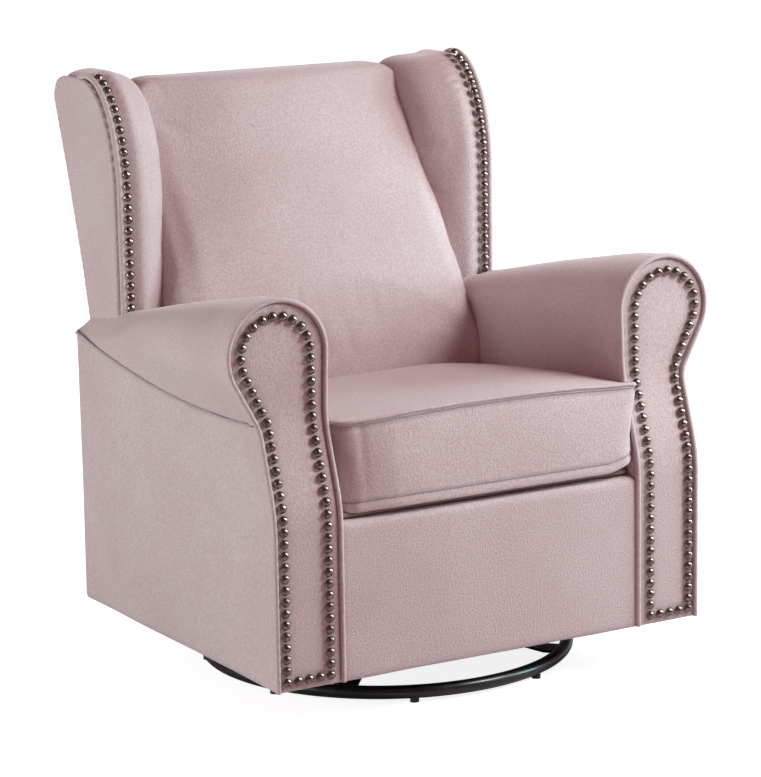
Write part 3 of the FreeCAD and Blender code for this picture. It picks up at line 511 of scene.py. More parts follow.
def arm_line(inset, steps=14):
    """Points (x, z) of the right arm's outline, drawn in by an inset, from outer foot to inner foot."""
    inner, outer, low = ARM_IN + inset, ARM_OUT - inset, SKIRT_Z + inset
    r, bend_r, corner = SCROLL_R - inset, NECK_R + inset, NECK_Z + inset / 3
    cx = inner + r
    away = math.hypot(outer - cx, corner - SCROLL_Z)
    way = math.atan2(SCROLL_Z - corner, cx - outer) - math.asin(r / away)
    turn = math.pi / 2 - way
    cut = bend_r * math.tan(turn / 2)
    points = [(outer, low + (corner - cut - low) * i / steps) for i in range(steps)]
    for i in range(steps):
        angle = turn * i / steps
        points.append((outer + bend_r * (1 - math.cos(angle)), corner - cut + bend_r * math.sin(angle)))
    touch = way - math.pi / 2
    arc_steps = 3 * steps
    for i in range(arc_steps + 1):
        angle = touch + (math.pi - touch) * i / arc_steps
        points.append((cx + r * math.cos(angle), SCROLL_Z + r * math.sin(angle)))
    for i in range(1, 2 * steps + 1):
        z = SCROLL_Z + (low - SCROLL_Z) * i / (2 * steps)
        points.append((inner + trim(z), z))
    return points


def facing_path(inset, proud, way):
    """The outline carried onto the facing's curved front, a little proud of it."""
    path = []
    for x, z in arm_line(inset):
        y, lean = facing_y(z)
        path.append(Vector((way * x, y - proud * math.cos(lean), z + proud * math.sin(lean))))
    return path


print("facing outline", len(arm_line(0)), "points, upright again at", round(UPRIGHT_Z, 3))

# %% [markdown]
# ## Piping
# A welt is a strip of the cover folded round a cord and sewn into the seam. It is a
# round tube along the seam line, made as a curve with a bevel, and then turned into a
# mesh. Beside it, a fine line of painted shadow stands for the shade in the seam.

# %% Piping helpers and the facings' piping
WELT_R = 0.0040
WELT_IN, WELT_PROUD = 0.0015, 0.0012
SEAM_R, SEAM_PROUD = 0.0012, 0.0004
WELT_SHADOW_GAP, WELT_SHADOW_DARK = 0.0006, 0.6


def tube(name, path, radius, sides=3):
    """A round cord along a path, as a mesh."""
    curve = bpy.data.curves.new(name, "CURVE")
    set_all(curve, {"dimensions": "3D", "bevel_depth": radius, "bevel_resolution": sides,
                    "use_fill_caps": True})
    spline = curve.splines.new("POLY")
    spline.points.add(len(path) - 1)
    for point, co in zip(spline.points, path):
        point.co = (*co, 1)
    cord = bpy.data.objects.new(name, curve)
    scene.collection.objects.link(cord)
    only(cord)
    bpy.ops.object.convert(target="MESH")
    return bpy.context.view_layer.objects.active


def seam_shadow_line(path, radius, shadow):
    """A line of painted shadow: a thread-thin cord laid in a seam, painted as dark as the shadow there."""
    cord = tube("line", path, radius, sides=1)
    mark(cord, "painted_shade", [shadow] * len(cord.data.vertices))
    return cord


welts = [tube("welt", facing_path(WELT_IN, WELT_PROUD, way), WELT_R) for way in SIDES.values()]
finish_piece(joined(welts, "facing_welt_cords"), ["facing_welts"])
# A line of painted shadow beside each welt.
welt_shadow_in = WELT_IN + WELT_R + WELT_SHADOW_GAP
welt_shadow_lines = [seam_shadow_line(facing_path(welt_shadow_in, SEAM_PROUD, way), SEAM_R, WELT_SHADOW_DARK) for way in SIDES.values()]
finish_piece(joined(welt_shadow_lines, "facing_welt_shadow_lines"))

# %% [markdown]
# ## Nail heads
# Each nail is a domed cap with a rolled rim, about 15 mm across. One is turned from a
# sphere: the lower half is cut away, the dome is pressed flatter, and the rim is drawn
# out and down. The frame already knows where each nail sits and which way it faces, so
# the copies are laid on those places.

# %% Nail heads
NAIL_R, NAIL_H, RIM_SHADOW_Z, NAIL_LIFT = 0.00765, 0.0056, 0.0005, 0.0012
NAIL_CUT, DOME_SHARE = 0.0006, 0.93
RIM_STEP, RIM_SHARE, RIM_DROP = 0.0002, 1.07, 0.0007
FOOT_GAP = 0.0002


def make_nail():
    bpy.ops.mesh.primitive_uv_sphere_add(segments=14, ring_count=10, radius=NAIL_R)
    nail = bpy.context.active_object
    enter("EDIT")
    bpy.ops.mesh.select_all(action="SELECT")
    bpy.ops.mesh.bisect(plane_co=(0, 0, NAIL_CUT), plane_no=(0, 0, 1), clear_inner=True, use_fill=False)
    bpy.ops.mesh.select_all(action="SELECT")
    bpy.ops.transform.resize(value=(DOME_SHARE, DOME_SHARE, NAIL_H / NAIL_R))
    bpy.ops.mesh.select_all(action="DESELECT")
    bpy.ops.mesh.select_non_manifold()
    bpy.ops.mesh.extrude_edges_move(TRANSFORM_OT_translate={"value": (0, 0, -RIM_STEP)})
    bpy.ops.transform.resize(value=(RIM_SHARE, RIM_SHARE, 1))
    bpy.ops.mesh.extrude_edges_move(TRANSFORM_OT_translate={"value": (0, 0, -RIM_DROP)})
    bpy.ops.mesh.edge_face_add()
    bpy.ops.mesh.select_all(action="SELECT")
    bpy.ops.mesh.normals_make_consistent(inside=False)
    enter("OBJECT")
    # Points below this height are marked for the rim's painted shadow.
    mark(nail, "painted_rim_shadow", [float(v.co.z < RIM_SHADOW_Z) for v in nail.data.vertices])
    return nail


def nail_places(node):
    """Foot and facing direction of each nail of a row, read from its solids."""
    bm = bmesh.new()
    bm.from_mesh(nodes[node].data)
    bmesh.ops.remove_doubles(bm, verts=bm.verts, dist=MERGE_GAP)
    left = dict.fromkeys(bm.verts)
    places = []
    while left:
        island, edge = [], [left.popitem()[0]]
        while edge:
            vertex = edge.pop()
            island.append(vertex)
            for e in vertex.link_edges:
                other = e.other_vert(vertex)
                if other in left:
                    del left[other]
                    edge.append(other)
        flat = max((f for v in island for f in v.link_faces), key=lambda f: f.calc_area())
        out = -flat.normal
        foot = min((v.co for v in island), key=lambda co: co.dot(out))
        ring = [v.co for v in island if (v.co - foot).dot(out) < FOOT_GAP]
        places.append((sum(ring, Vector()) / len(ring), out.normalized()))
    bm.free()
    return places


def nail_row(pattern, places, name):
    copies = []
    for foot, out in places:
        copy = bpy.data.objects.new(name, pattern.data.copy())
        turn = out.to_track_quat("Z", "Y").to_matrix().to_4x4()
        copy.data.transform(Matrix.Translation(foot + out * NAIL_LIFT) @ turn)
        scene.collection.objects.link(copy)
        copies.append(copy)
    print(name, len(copies), "nails")
    return joined(copies, name)


nail = make_nail()
nail_feet = {}
for row in ("facing", "wing"):
    places = nail_places(row + "_nails")
    nail_feet[row] = [foot for foot, out in places]
    finish_piece(nail_row(nail, places, row + "_nail_heads"), [row + "_nails"], slot="nail_bronze")
bpy.data.objects.remove(nail)

# %% [markdown]
# ## Upholstered panels
# The side panels, wing panels, facings, apron and back are boards with thin wadding
# under the cover. Each starts from its solid, gets even quads, loses its hard edges and
# takes on a very slight unevenness, as stretched cloth over wadding has. The wadding
# stands out a little more towards the rear, where a line of painted shadow lies in the
# seam that closes the back.

# %% Panels
FRONT_REACH, FRONT_RUN = 0.0205, 0.02
TRIM_WIDE = 0.03
APRON_WIDE, APRON_OUT, APRON_LOW, APRON_RUN = 0.006, 0.006, 0.004, 0.06
WING_FOOT, REAR_LAP, FACES_UP = 0.04, 0.003, 0.6
REAR_OUT, REAR_FROM, REAR_TO = 0.0070, 0.05, 0.25
WING_OUT, WING_RISE = 0.0035, (0.46, 0.54)
WAVE_SCALE = 9
NAIL_DENT, NAIL_DENT_W = 0.0016, 0.010
BACK_SEAM_R, BACK_SEAM_PROUD, BACK_SEAM_SHADOW = 0.0010, 0.0003, 0.8
CAST_FROM, HALF_STEPS = 0.2, 40
apron_low, apron_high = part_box("front_apron")
rear_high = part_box("rear_panel")[1]


def point_tree(points):
    tree = KDTree(len(points))
    for i, p in enumerate(points):
        tree.insert(p, i)
    tree.balance()
    return tree


def forward_end(co, normal):
    """Draw the front end of an arm's covers up to the welt of its facing."""
    behind = co.y - facing_y(co.z)[0] - FACING_T
    return Vector((0, -FRONT_REACH * clamp(1 - behind / FRONT_RUN), 0))


def trim_facing(co, normal):
    """Draw the inner edge of a facing outwards."""
    inner = clamp(1 - (abs(co.x) - ARM_IN) / TRIM_WIDE)
    return Vector((math.copysign(trim(co.z) * inner, co.x), 0, 0))


def fill_apron(co, normal):
    """Let the apron's wadding reach the facings and come nearly level with them."""
    front = 1.0 if co.y < (apron_low.y + apron_high.y) / 2 else 0.0
    lower = APRON_LOW * ramp(co.z, apron_high.z - APRON_RUN, apron_high.z)
    return Vector((APRON_WIDE * co.x / apron_high.x, -APRON_OUT * front, -lower))


def rear_out(co, normal):
    """Let the wadding stand out more and more towards the rear."""
    out = REAR_OUT + WING_OUT * ramp(co.z, *WING_RISE)
    return Vector((0, out * clamp((co.y - REAR_FROM) / (REAR_TO - REAR_FROM)), 0))


def meet_back(co, normal):
    """Bring the rear panel's top edge up under the outside back, so that no gap is left."""
    return Vector((0, 0, REAR_LAP)) if normal.z > FACES_UP else Vector()


def long_foot(co, normal):
    """Run the foot of a wing's cover down into the arm that it stands on."""
    return Vector((0, 0, -WING_FOOT)) if normal.z < -FACES_UP else Vector()


def panel(node, name, size, rounds, wave, nails=None, shape=None):
    piece = soften_quads(solid_copy(node, name), size, rounds)

    def settle(co, normal):
        lift = wave * noise.noise(co * WAVE_SCALE)
        if nails:
            lift -= NAIL_DENT * dent(nails.find(co)[2], NAIL_DENT_W)
        return normal * lift

    move_points(piece, settle)
    if shape:
        move_points(piece, shape)
    move_points(piece, rear_out)
    return finish_piece(piece, [node])


facing_tree = point_tree(nail_feet["facing"])
covers = {}
for side in SIDES:
    covers["side", side] = panel("side_panel_" + side, "side_cover_" + side, size=0.005, rounds=6, wave=0.0012,
                                 shape=forward_end)
    panel("wing_panel_" + side, "wing_cover_" + side, size=0.0035, rounds=3, wave=0.0006, shape=long_foot)
    covers["facing", side] = panel("arm_facing_" + side, "facing_cover_" + side, size=0.004, rounds=3,
                                   wave=0.0005, nails=facing_tree, shape=trim_facing)
panel("front_apron", "apron_cover", size=0.005, rounds=5, wave=0.0010, shape=fill_apron)
rear_covers = [panel("rear_panel", "rear_cover", size=0.005, rounds=4, wave=0.0010, shape=meet_back),
               panel("outside_back", "outside_back_cover", size=0.005, rounds=4, wave=0.0010)]
# A line of painted shadow along the seam that closes the back.
across = [rear_high.x * (i / HALF_STEPS - 1) for i in range(2 * HALF_STEPS + 1)]
places = [Vector((x, rear_high.y + CAST_FROM, rear_high.z)) for x in across]
back_path = cast_on(rear_covers, places, Vector((0, -1, 0)), BACK_SEAM_PROUD)
rear_shadow_line = seam_shadow_line(back_path, BACK_SEAM_R, BACK_SEAM_SHADOW)
rear_shadow_line.name = "rear_seam_shadow"
finish_piece(rear_shadow_line)

# %% [markdown]
# ## Arms
# One padded cover runs from the seat up the inside of each arm, over the scroll and
# down to the sewn line on its outer side, where it is tucked in over the side panel.
# The two solids under it are joined before they are remeshed, so no seam shows
# inside the arm. The facing end and the sewn line are held while the rest swells. At
# the rear the top falls to the sewn line, and the cover ends in a small lip.

# %% Arm covers
SEAM_HALF, SEAM_HEIGHTS = 0.3225, (0.467, 0.463, 0.513)
HELD_W, HELD_REAR, HELD_ALL = 0.02, 0.03, 0.3
REAR_FALL, FALL_X, FALL_BEFORE, FALL_PAST = 0.7, (0.335, 0.375), 0.22, 0.02
WRAP_RUN, LIP_ZONE = 0.05, 0.012
LIP_UP, LIP_OUT, LIP_BACK, LIP_W = 0.004, 0.006, 0.008, 0.016
SEAM_SHADE_X, SEAM_SHADE_DEEP, SEAM_SHADE_W = 0.32, 0.5, 0.003
SEAM_STEPS, CAST_X = 60, 0.6


def seam_z(y):
    """Height of the sewn line on the outer side of an arm."""
    front, middle, rear = SEAM_HEIGHTS
    t = (y - SWIVEL_Y + SEAM_HALF) / (2 * SEAM_HALF)
    bow = 2 * (front + rear - 2 * middle)
    return front + t * (rear - front - bow) + bow * t * t


def arm_cover(side):
    names = ["arm_scroll_" + side, "inner_arm_" + side]
    name = "arm_cover_" + side
    piece = joined([solid_copy(node, name) for node in names], name)
    soften_quads(piece, size=0.0055, rounds=2)
    way = SIDES[side]
    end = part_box(names[0])[1].y
    wrap = rear_high.y - end

    def held(co):
        front = dent(co.y - facing_y(co.z)[0] - FACING_T, HELD_W)
        seam = dent(co.z - seam_z(co.y), HELD_W)
        return min(1.0, front + seam + dent(co.y - end, HELD_REAR) + HELD_ALL)

    fill_cover(piece, held, pressure=2.0, cap=0.006)
    soften(piece, 1)
    subdivide_once(piece)

    def rear_fall(co, normal):
        """The arm's top falls towards its rear end, where it meets the sewn line."""
        above = max(0.0, co.z - seam_z(co.y))
        outside = ramp(abs(co.x), *FALL_X)
        return Vector((0, 0, -above * REAR_FALL * outside * ramp(co.y, end - FALL_BEFORE, end + FALL_PAST)))

    move_points(piece, forward_end)
    move_points(piece, rear_fall)
    move_points(piece, lambda co, n: Vector((0, wrap * max(0, 1 - (end - co.y) / WRAP_RUN), 0)))
    last = [v.co.copy() for v in piece.data.vertices if v.co.y > end + wrap - LIP_ZONE]
    tip = max(last, key=lambda co: way * co.x)
    tip.z = seam_z(end) + LIP_UP
    lip = Vector((way * LIP_OUT, LIP_BACK, 0))
    move_points(piece, lambda co, n: lip * dent((co - tip).length, LIP_W))
    move_points(piece, rear_out)
    # Painted shade in the crease along the sewn line, where the cover turns in over the side panel.
    mark(piece, "painted_shade", [SEAM_SHADE_DEEP * dent(v.co.z - seam_z(v.co.y), SEAM_SHADE_W) if abs(v.co.x) > SEAM_SHADE_X else 0.0
                         for v in piece.data.vertices])
    return finish_piece(piece, names)


# A line of painted shadow along each arm's sewn line.
seam_shadows = []
seam_from, seam_to = FRONT_Y + SETBACK, rear_high.y + REAR_OUT
for side, way in SIDES.items():
    under = [arm_cover(side), covers["side", side], covers["facing", side]]
    span = [seam_from + (seam_to - seam_from) * i / SEAM_STEPS for i in range(SEAM_STEPS + 1)]
    places = [Vector((way * CAST_X, y, seam_z(y))) for y in span]
    seam_shadows.append(seam_shadow_line(cast_on(under, places, Vector((-way, 0, 0)), SEAM_PROUD), SEAM_R, 1.0))
finish_piece(joined(seam_shadows, "arm_seam_shadows"))

# %% [markdown]
# ## Wing pads
# The inside of each wing is a thick pad that turns round its nose and is pulled tight
# by the nails. Each nail dents the pad, and near the top, where the edge curves, the
# spare cloth gathers into short pleats that run inwards from the nails.

# %% Wing pads
WING_CREST, WING_FALL = {-1: 0.007, 1: -0.003}, {-1: 0.007, 1: 0.018}
WING_REACH, WING_ROLL = {-1: 0.008, 1: 0.012}, 0.018
CREST_RUN, CREST_AT, CREST_W, FALL_POWER = 0.12, 0.35, 0.25, 1.5
ROLL_FROM, ROLL_CREST, ROLL_W, REAR_FACING = 0.3, 0.35, 0.2, 0.5
PAD_HELD, PAD_REAR, PAD_REAR_SHARE = 0.03, 0.05, 0.5
PAD_DENT, PAD_DENT_W = 0.0022, 0.011
PLEATS, PLEAT_RUN, PLEAT_SLOPE, PLEAT_W = 6, 0.06, 0.25, 0.0040
PLEAT_DEEP, PLEAT_STEP = 0.0016, 0.0010
wing_tree = point_tree(nail_feet["wing"])


def wing_pad(side, way):
    node = "wing_pad_" + side
    piece = soften_quads(solid_copy(node, "wing_cushion_" + side), size=0.006, rounds=4)
    low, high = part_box(node)
    outer = high.x if way > 0 else low.x
    width = high.x - low.x

    def held(co):
        return min(1.0, dent(co.x - outer, PAD_HELD) + dent(co.y - high.y, PAD_REAR) * PAD_REAR_SHARE)

    fill_cover(piece, held, pressure=2.0, cap=0.008)
    subdivide_once(piece)

    def crest(co, normal):
        """Round the top: highest near the nails, falling towards the back cushion."""
        inward = clamp((outer - co.x) * way / width)
        top = ramp(co.z, high.z - CREST_RUN, high.z)
        rise = WING_CREST[way] * dent(inward - CREST_AT, CREST_W) - WING_FALL[way] * inward ** FALL_POWER
        roll = 0.0
        if normal.y < REAR_FACING:
            roll = WING_ROLL * (ramp(inward, ROLL_FROM, 1.0) - ROLL_CREST * dent(inward - CREST_AT, ROLL_W))
        return Vector((-way * WING_REACH[way] * inward, roll, top * rise))

    move_points(piece, long_foot)
    move_points(piece, crest)
    move_points(piece, rear_out)
    feet = sorted((f for f in nail_feet["wing"] if f.x * way > 0), key=lambda f: f.z)

    def settle(co, normal):
        lift = -PAD_DENT * dent(wing_tree.find(co)[2], PAD_DENT_W)
        for i, foot in enumerate(feet[-PLEATS:]):
            inward = (foot.x - co.x) * way
            if 0 < inward < PLEAT_RUN:
                across = math.hypot(co.y - foot.y, co.z - foot.z + inward * PLEAT_SLOPE)
                deep = PLEAT_DEEP + PLEAT_STEP * (i % 3)
                lift -= deep * dent(across, PLEAT_W) * (1 - inward / PLEAT_RUN)
        return normal * lift

    move_points(piece, settle)
    finish_piece(piece, [node])


for side, way in SIDES.items():
    wing_pad(side, way)

# %% [markdown]
# ## Wing piping
# A cord closes the seam between the wing's outer panel and its pad. It runs up the
# upright front, round the quarter ellipse and over the top.

# %% Wing piping
wing_low, wing_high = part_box("wing_welts")
CURVE_Y, CURVE_Z = 0.107, 0.181
WING_WELT_R, WELT_OFF, WELT_SIDE = 0.0046, 0.001, 0.0005
WELT_DOWN, TOP_RUN, TOP_FALL = 0.03, 0.038, 0.012
UPRIGHT_STEPS, CURVE_STEPS, TOP_STEPS = 20, 32, 6


def wing_path(way):
    x = way * (wing_high.x - WING_WELT_R - WELT_SIDE)
    front, top, base = wing_low.y + WELT_OFF, wing_high.z - WELT_OFF, wing_low.z - WELT_DOWN
    half_y, half_z = CURVE_Y + WELT_OFF, CURVE_Z + WELT_OFF
    bend = top - half_z
    path = [Vector((x, front, base + (bend - base) * i / UPRIGHT_STEPS)) for i in range(UPRIGHT_STEPS)]
    for i in range(CURVE_STEPS + 1):
        angle = math.pi / 2 * i / CURVE_STEPS
        path.append(Vector((x, front + half_y * (1 - math.cos(angle)), bend + half_z * math.sin(angle))))
    for i in range(1, TOP_STEPS + 1):
        t = i / TOP_STEPS
        path.append(Vector((x, front + half_y + TOP_RUN * t, top - TOP_FALL * t ** 2)))
    return path


wing_welts = [tube("welt", wing_path(way), WING_WELT_R) for way in SIDES.values()]
finish_piece(joined(wing_welts, "wing_welt_cords"), ["wing_welts"])

# %% [markdown]
# ## Seat cushion
# A box cushion: a crowned top, a band round the sides and a flat bottom, sewn along two
# seams. The cushion is tilted, so its seams are found in a frame of its own that lies
# level. The seams are pinned while the panels swell, and each seam is then drawn in as
# a fine groove with painted shade in it.

# %% Seat cushion
SEAT_TILT = math.radians(5.5)
SEAT_PIVOT = Vector((0, -0.275 + SWIVEL_Y, 0.312))
DECK_TOP, CUSHION_H = 0.0128, 0.122
SEAT_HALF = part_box("seat_cushion")[1].x
SEAT_EDGE, SEAT_LEN = -0.0435, 0.424
CROWN, CROWN_R = 0.016, 3.51
SIDE_ZONE, HELD_SEAM, HELD_BOTTOM = 0.012, 0.008, 0.012
TOP_SEAM, TOP_SEAM_W, BOTTOM_SEAM = 0.010, 0.004, 0.015
GROOVES, SHADOWS = (0.0016, 0.0018, 0.0028), (0.25, 0.3, 0.0020)
level_turn = Matrix.Rotation(SEAT_TILT, 3, "X")


def level(co):
    """A place in the seat's own frame: height above the deck, and level."""
    return level_turn @ (co - SEAT_PIVOT) - Vector((0, 0, DECK_TOP))


def unlevel(p):
    return level_turn.inverted() @ (p + Vector((0, 0, DECK_TOP))) + SEAT_PIVOT


def keep_rest(piece):
    """Remember where each point was before the filling, through later subdivision."""
    layer = piece.data.attributes.new("start", "FLOAT_VECTOR", "POINT")
    for vertex in piece.data.vertices:
        layer.data[vertex.index].vector = vertex.co


def sew(piece, depth, painted_shade):
    """Draw seams in and darken them with painted shade: depth and shade are functions of where a point was before
    the filling.
    """
    places = [Vector(item.vector) for item in piece.data.attributes["start"].data]
    normals = [v.normal.copy() for v in piece.data.vertices]
    for vertex, normal, place in zip(piece.data.vertices, normals, places):
        vertex.co -= normal * depth(place)
    mark(piece, "painted_shade", [painted_shade(place) for place in places])
    piece.data.attributes.remove(piece.data.attributes["start"])
    piece.data.update()


def crown_z(p):
    """Height of the cushion's crowned top over its bottom."""
    middle = SEAT_EDGE + SEAT_LEN / 2
    return CUSHION_H + CROWN - (p.x ** 2 + (p.y - middle) ** 2) / (2 * CROWN_R)


def seat_cushion():
    piece = soften_quads(solid_copy("seat_cushion", "seat_cushion_cover"), size=0.006, rounds=2)
    keep_rest(piece)

    def on_side(p):
        return min(SEAT_HALF - abs(p.x), p.y - SEAT_EDGE) < SIDE_ZONE

    def held(co):
        p = level(co)
        seam = dent(p.z - crown_z(p), HELD_SEAM) if on_side(p) else 0.0
        return min(1.0, dent(p.z, HELD_BOTTOM) + seam)

    fill_cover(piece, held, pressure=4.0, cap=0.009)
    soften(piece, 1)
    subdivide_once(piece)

    def in_seams(co, top, bottom, bottom_w):
        """How far a place lies in the band's top seam and in its bottom seam."""
        p = level(co)
        if not on_side(p):
            return 0.0, 0.0
        return top * dent(p.z - crown_z(p) + TOP_SEAM, TOP_SEAM_W), bottom * dent(p.z - BOTTOM_SEAM, bottom_w)

    # The grooves are darkened with painted shade.
    sew(piece, lambda co: sum(in_seams(co, *GROOVES)), lambda co: max(in_seams(co, *SHADOWS)))
    move_points(piece, lambda co, n: plumped(co) - co)
    return piece


SEAT_LIFT, SEAT_DROOP, FRONT_ZONE = 0.0055, 0.0070, 0.09
CORNER_LIFT, CORNER_ZONE = {-1: -0.002, 1: 0.012}, 0.06
SEAT_PUFF, PUFF_X, PUFF_SIDE, PUFF_FRONT = 0.007, 0.2, 0.05, 0.12
SEAT_FORWARD, SEAT_SHIFT, SHIFT_RUN = 0.008, 0.008, 0.25
SEAT_SPREAD, SPREAD_GAP, SPREAD_RUN, SPREAD_X = {-1: 0.006, 1: 0.021}, 0.004, 0.02, (0.19, 0.25)
SEAT_TURN, TURN_RUN = 0.010, 0.09
SEAT_CREASE, CREASE_IN, CREASE_W = 0.0022, 0.034, 0.006


def plumped(co):
    """Where a point of the cushion ends up: plumper, drooping in front, bulging ahead of the facings."""
    p = level(co)
    way = 1 if co.x > 0 else -1
    share = clamp(p.z / CUSHION_H)
    front = 1 - ramp(p.y, SEAT_EDGE, SEAT_EDGE + FRONT_ZONE)
    corner = ramp(abs(p.x), SEAT_HALF - CORNER_ZONE, SEAT_HALF)
    rise = SEAT_LIFT * share + (CORNER_LIFT[way] * corner - SEAT_DROOP) * (1 - share) * front
    puff = ramp(p.x, 0.0, PUFF_X) * (1 - ramp(p.x, SEAT_HALF - PUFF_SIDE, SEAT_HALF))
    rise += SEAT_PUFF * share * puff * ramp(p.y, SEAT_EDGE, SEAT_EDGE + PUFF_FRONT)
    ahead = facing_y(co.z)[0] - SPREAD_GAP - co.y + SEAT_FORWARD * front
    bulge = SEAT_SPREAD[way] * clamp(ahead / SPREAD_RUN) * ramp(abs(co.x), *SPREAD_X)
    shift = SEAT_SHIFT * (1 - ramp(p.y, SEAT_EDGE, SEAT_EDGE + SHIFT_RUN))
    turn = SEAT_TURN * front * (1 - ramp(p.x, -SEAT_HALF, -SEAT_HALF + TURN_RUN))
    turn += SEAT_CREASE * front * share * dent(p.x + SEAT_HALF - CREASE_IN, CREASE_W)
    return co + level_turn.inverted() @ Vector((way * bulge + shift, turn - SEAT_FORWARD * front, rise))


seat = finish_piece(seat_cushion(), ["seat_cushion"])

# %% [markdown]
# ## Seat flange
# Along the cushion's top edge the two layers are folded together and sewn through, so
# the seam stands up as a soft ridge. It is a thin cord, laid on the filled cushion by
# finding the nearest point of its surface along the top edge. Two finer lines of painted
# shadow lie under the ridge and in the seam at the bottom of the band.

# %% Seat flange and painted seam shadows
FLANGE_R, FLANGE_PROUD = 0.0030, 0.0010
CORNER_R, CORNER_STEPS = 0.026, 8
RIDGE_SHADOW_DROP, RIDGE_SHADOW_R, RIDGE_SHADOW_DARK = 0.007, 0.0010, 0.45
BAND_R, BAND_PROUD, BAND_SHADOW_DARK = 0.0006, 0.0001, 0.65


def seat_edge(steps=40):
    """Level outline of the cushion's top edge, from its right rear corner round the front."""
    half, front, rear = SEAT_HALF, SEAT_EDGE, SEAT_EDGE + SEAT_LEN
    bend_x, bend_y = half - CORNER_R, front + CORNER_R
    right = [(half, rear + (bend_y - rear) * i / steps) for i in range(steps)]
    for i in range(CORNER_STEPS + 1):
        angle = math.pi / 2 * i / CORNER_STEPS
        right.append((bend_x + CORNER_R * math.cos(angle), bend_y - CORNER_R * math.sin(angle)))
    middle = [(bend_x - 2 * bend_x * i / steps, front) for i in range(1, steps)]
    left = [(-x, y) for x, y in reversed(right)]
    return [Vector((x, y, 0)) for x, y in right + middle + left]


def along_edge(height):
    """Places round the filled cushion's edge, at a height that is a function of the level place."""
    return [plumped(unlevel(Vector((p.x, p.y, height(p))))) for p in seat_edge()]


flange = tube("seat_flange", laid_on(seat, along_edge(crown_z), FLANGE_PROUD), FLANGE_R)
soften(flange, 1)
finish_piece(flange)
# Lines of painted shadow under the ridge and in the band's bottom seam.
ridge_shadow_path = laid_on(seat, along_edge(lambda p: crown_z(p) - RIDGE_SHADOW_DROP), 0.0)
band_path = laid_on(seat, along_edge(lambda p: BOTTOM_SEAM), BAND_PROUD)
seat_shadow_lines = [seam_shadow_line(ridge_shadow_path, RIDGE_SHADOW_R, RIDGE_SHADOW_DARK), seam_shadow_line(band_path, BAND_R, BAND_SHADOW_DARK)]
finish_piece(joined(seat_shadow_lines, "seat_seam_shadows"))

# %% [markdown]
# ## Deck and post covers
# Under the cushion the deck is lined, and its lining turns down in front to the apron,
# so no webbing or rail shows through the gap. The back posts and the top rail are
# wrapped in the cover where they show beside and behind the back cushion.

# %% Deck lining and post wraps
FRONT_FACE, LINING_GAP, LINING_FALL = -0.9, 0.009, 0.006
WRAP_T = 0.0022


def deck_cover():
    piece = solid_copy("seat_deck", "deck_lining")
    ahead = apron_low.y + LINING_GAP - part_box("seat_deck")[0].y
    enter("EDIT")
    bpy.ops.mesh.select_all(action="DESELECT")
    enter("OBJECT")
    for face in piece.data.polygons:
        face.select = (level_turn @ face.normal).y < FRONT_FACE
    enter("EDIT")
    bpy.ops.mesh.extrude_region_move(TRANSFORM_OT_translate={"value": (0, ahead, -LINING_FALL)})
    enter("OBJECT")
    return soften_quads(piece, size=0.0045, rounds=2)


finish_piece(deck_cover(), ["seat_deck"], slot="deck_cloth")
for node in ("back_post_left", "back_post_right", "back_top_rail"):
    wrap = soften_quads(solid_copy(node, node + "_wrap"), size=0.006, rounds=2)
    move_points(wrap, lambda co, n: n * WRAP_T)
    move_points(wrap, rear_out)
    finish_piece(wrap)

# %% [markdown]
# ## Back cushion
# The back is a wedge, upright at the small of the back and raked above, with a crowned
# front panel and a band round its sides. It leans on the webbing, so its rear is held
# and its front swells.

# %% Back cushion
LINE_LOW, LINE_HIGH, LINE_ZONE = 0.25, 0.08, 0.006
BACK_HELD, REAR_HELD = 0.03, 0.02
BACK_SPREAD, BACK_CORNER = {-1: 0.010, 1: 0.027}, {-1: 0.004, 1: 0.001}
BACK_CROWN, BACK_SIDE, SIDE_FROM = 0.003, {-1: -0.010, 1: 0.006}, 0.3
PLUMP_RISE, CORNER_FROM, CORNER_DROP = 0.2, 0.6, 0.10
CREASED_FRONT, CREASE_FADE = -0.2, 0.6
# Each crease: x and z of its start, x and z of its end, width, depth.
BACK_CREASES = [(-0.208, 0.912, -0.195, 0.880, 0.006, 0.0010), (-0.140, 0.918, -0.125, 0.890, 0.005, 0.0008),
                (-0.084, 0.920, -0.066, 0.893, 0.005, 0.0008), (0.085, 0.918, 0.070, 0.900, 0.006, 0.0006),
                (-0.066, 0.480, -0.064, 0.560, 0.007, 0.0018), (-0.026, 0.470, -0.028, 0.550, 0.008, 0.0016),
                (0.020, 0.470, 0.014, 0.520, 0.008, 0.0012)]


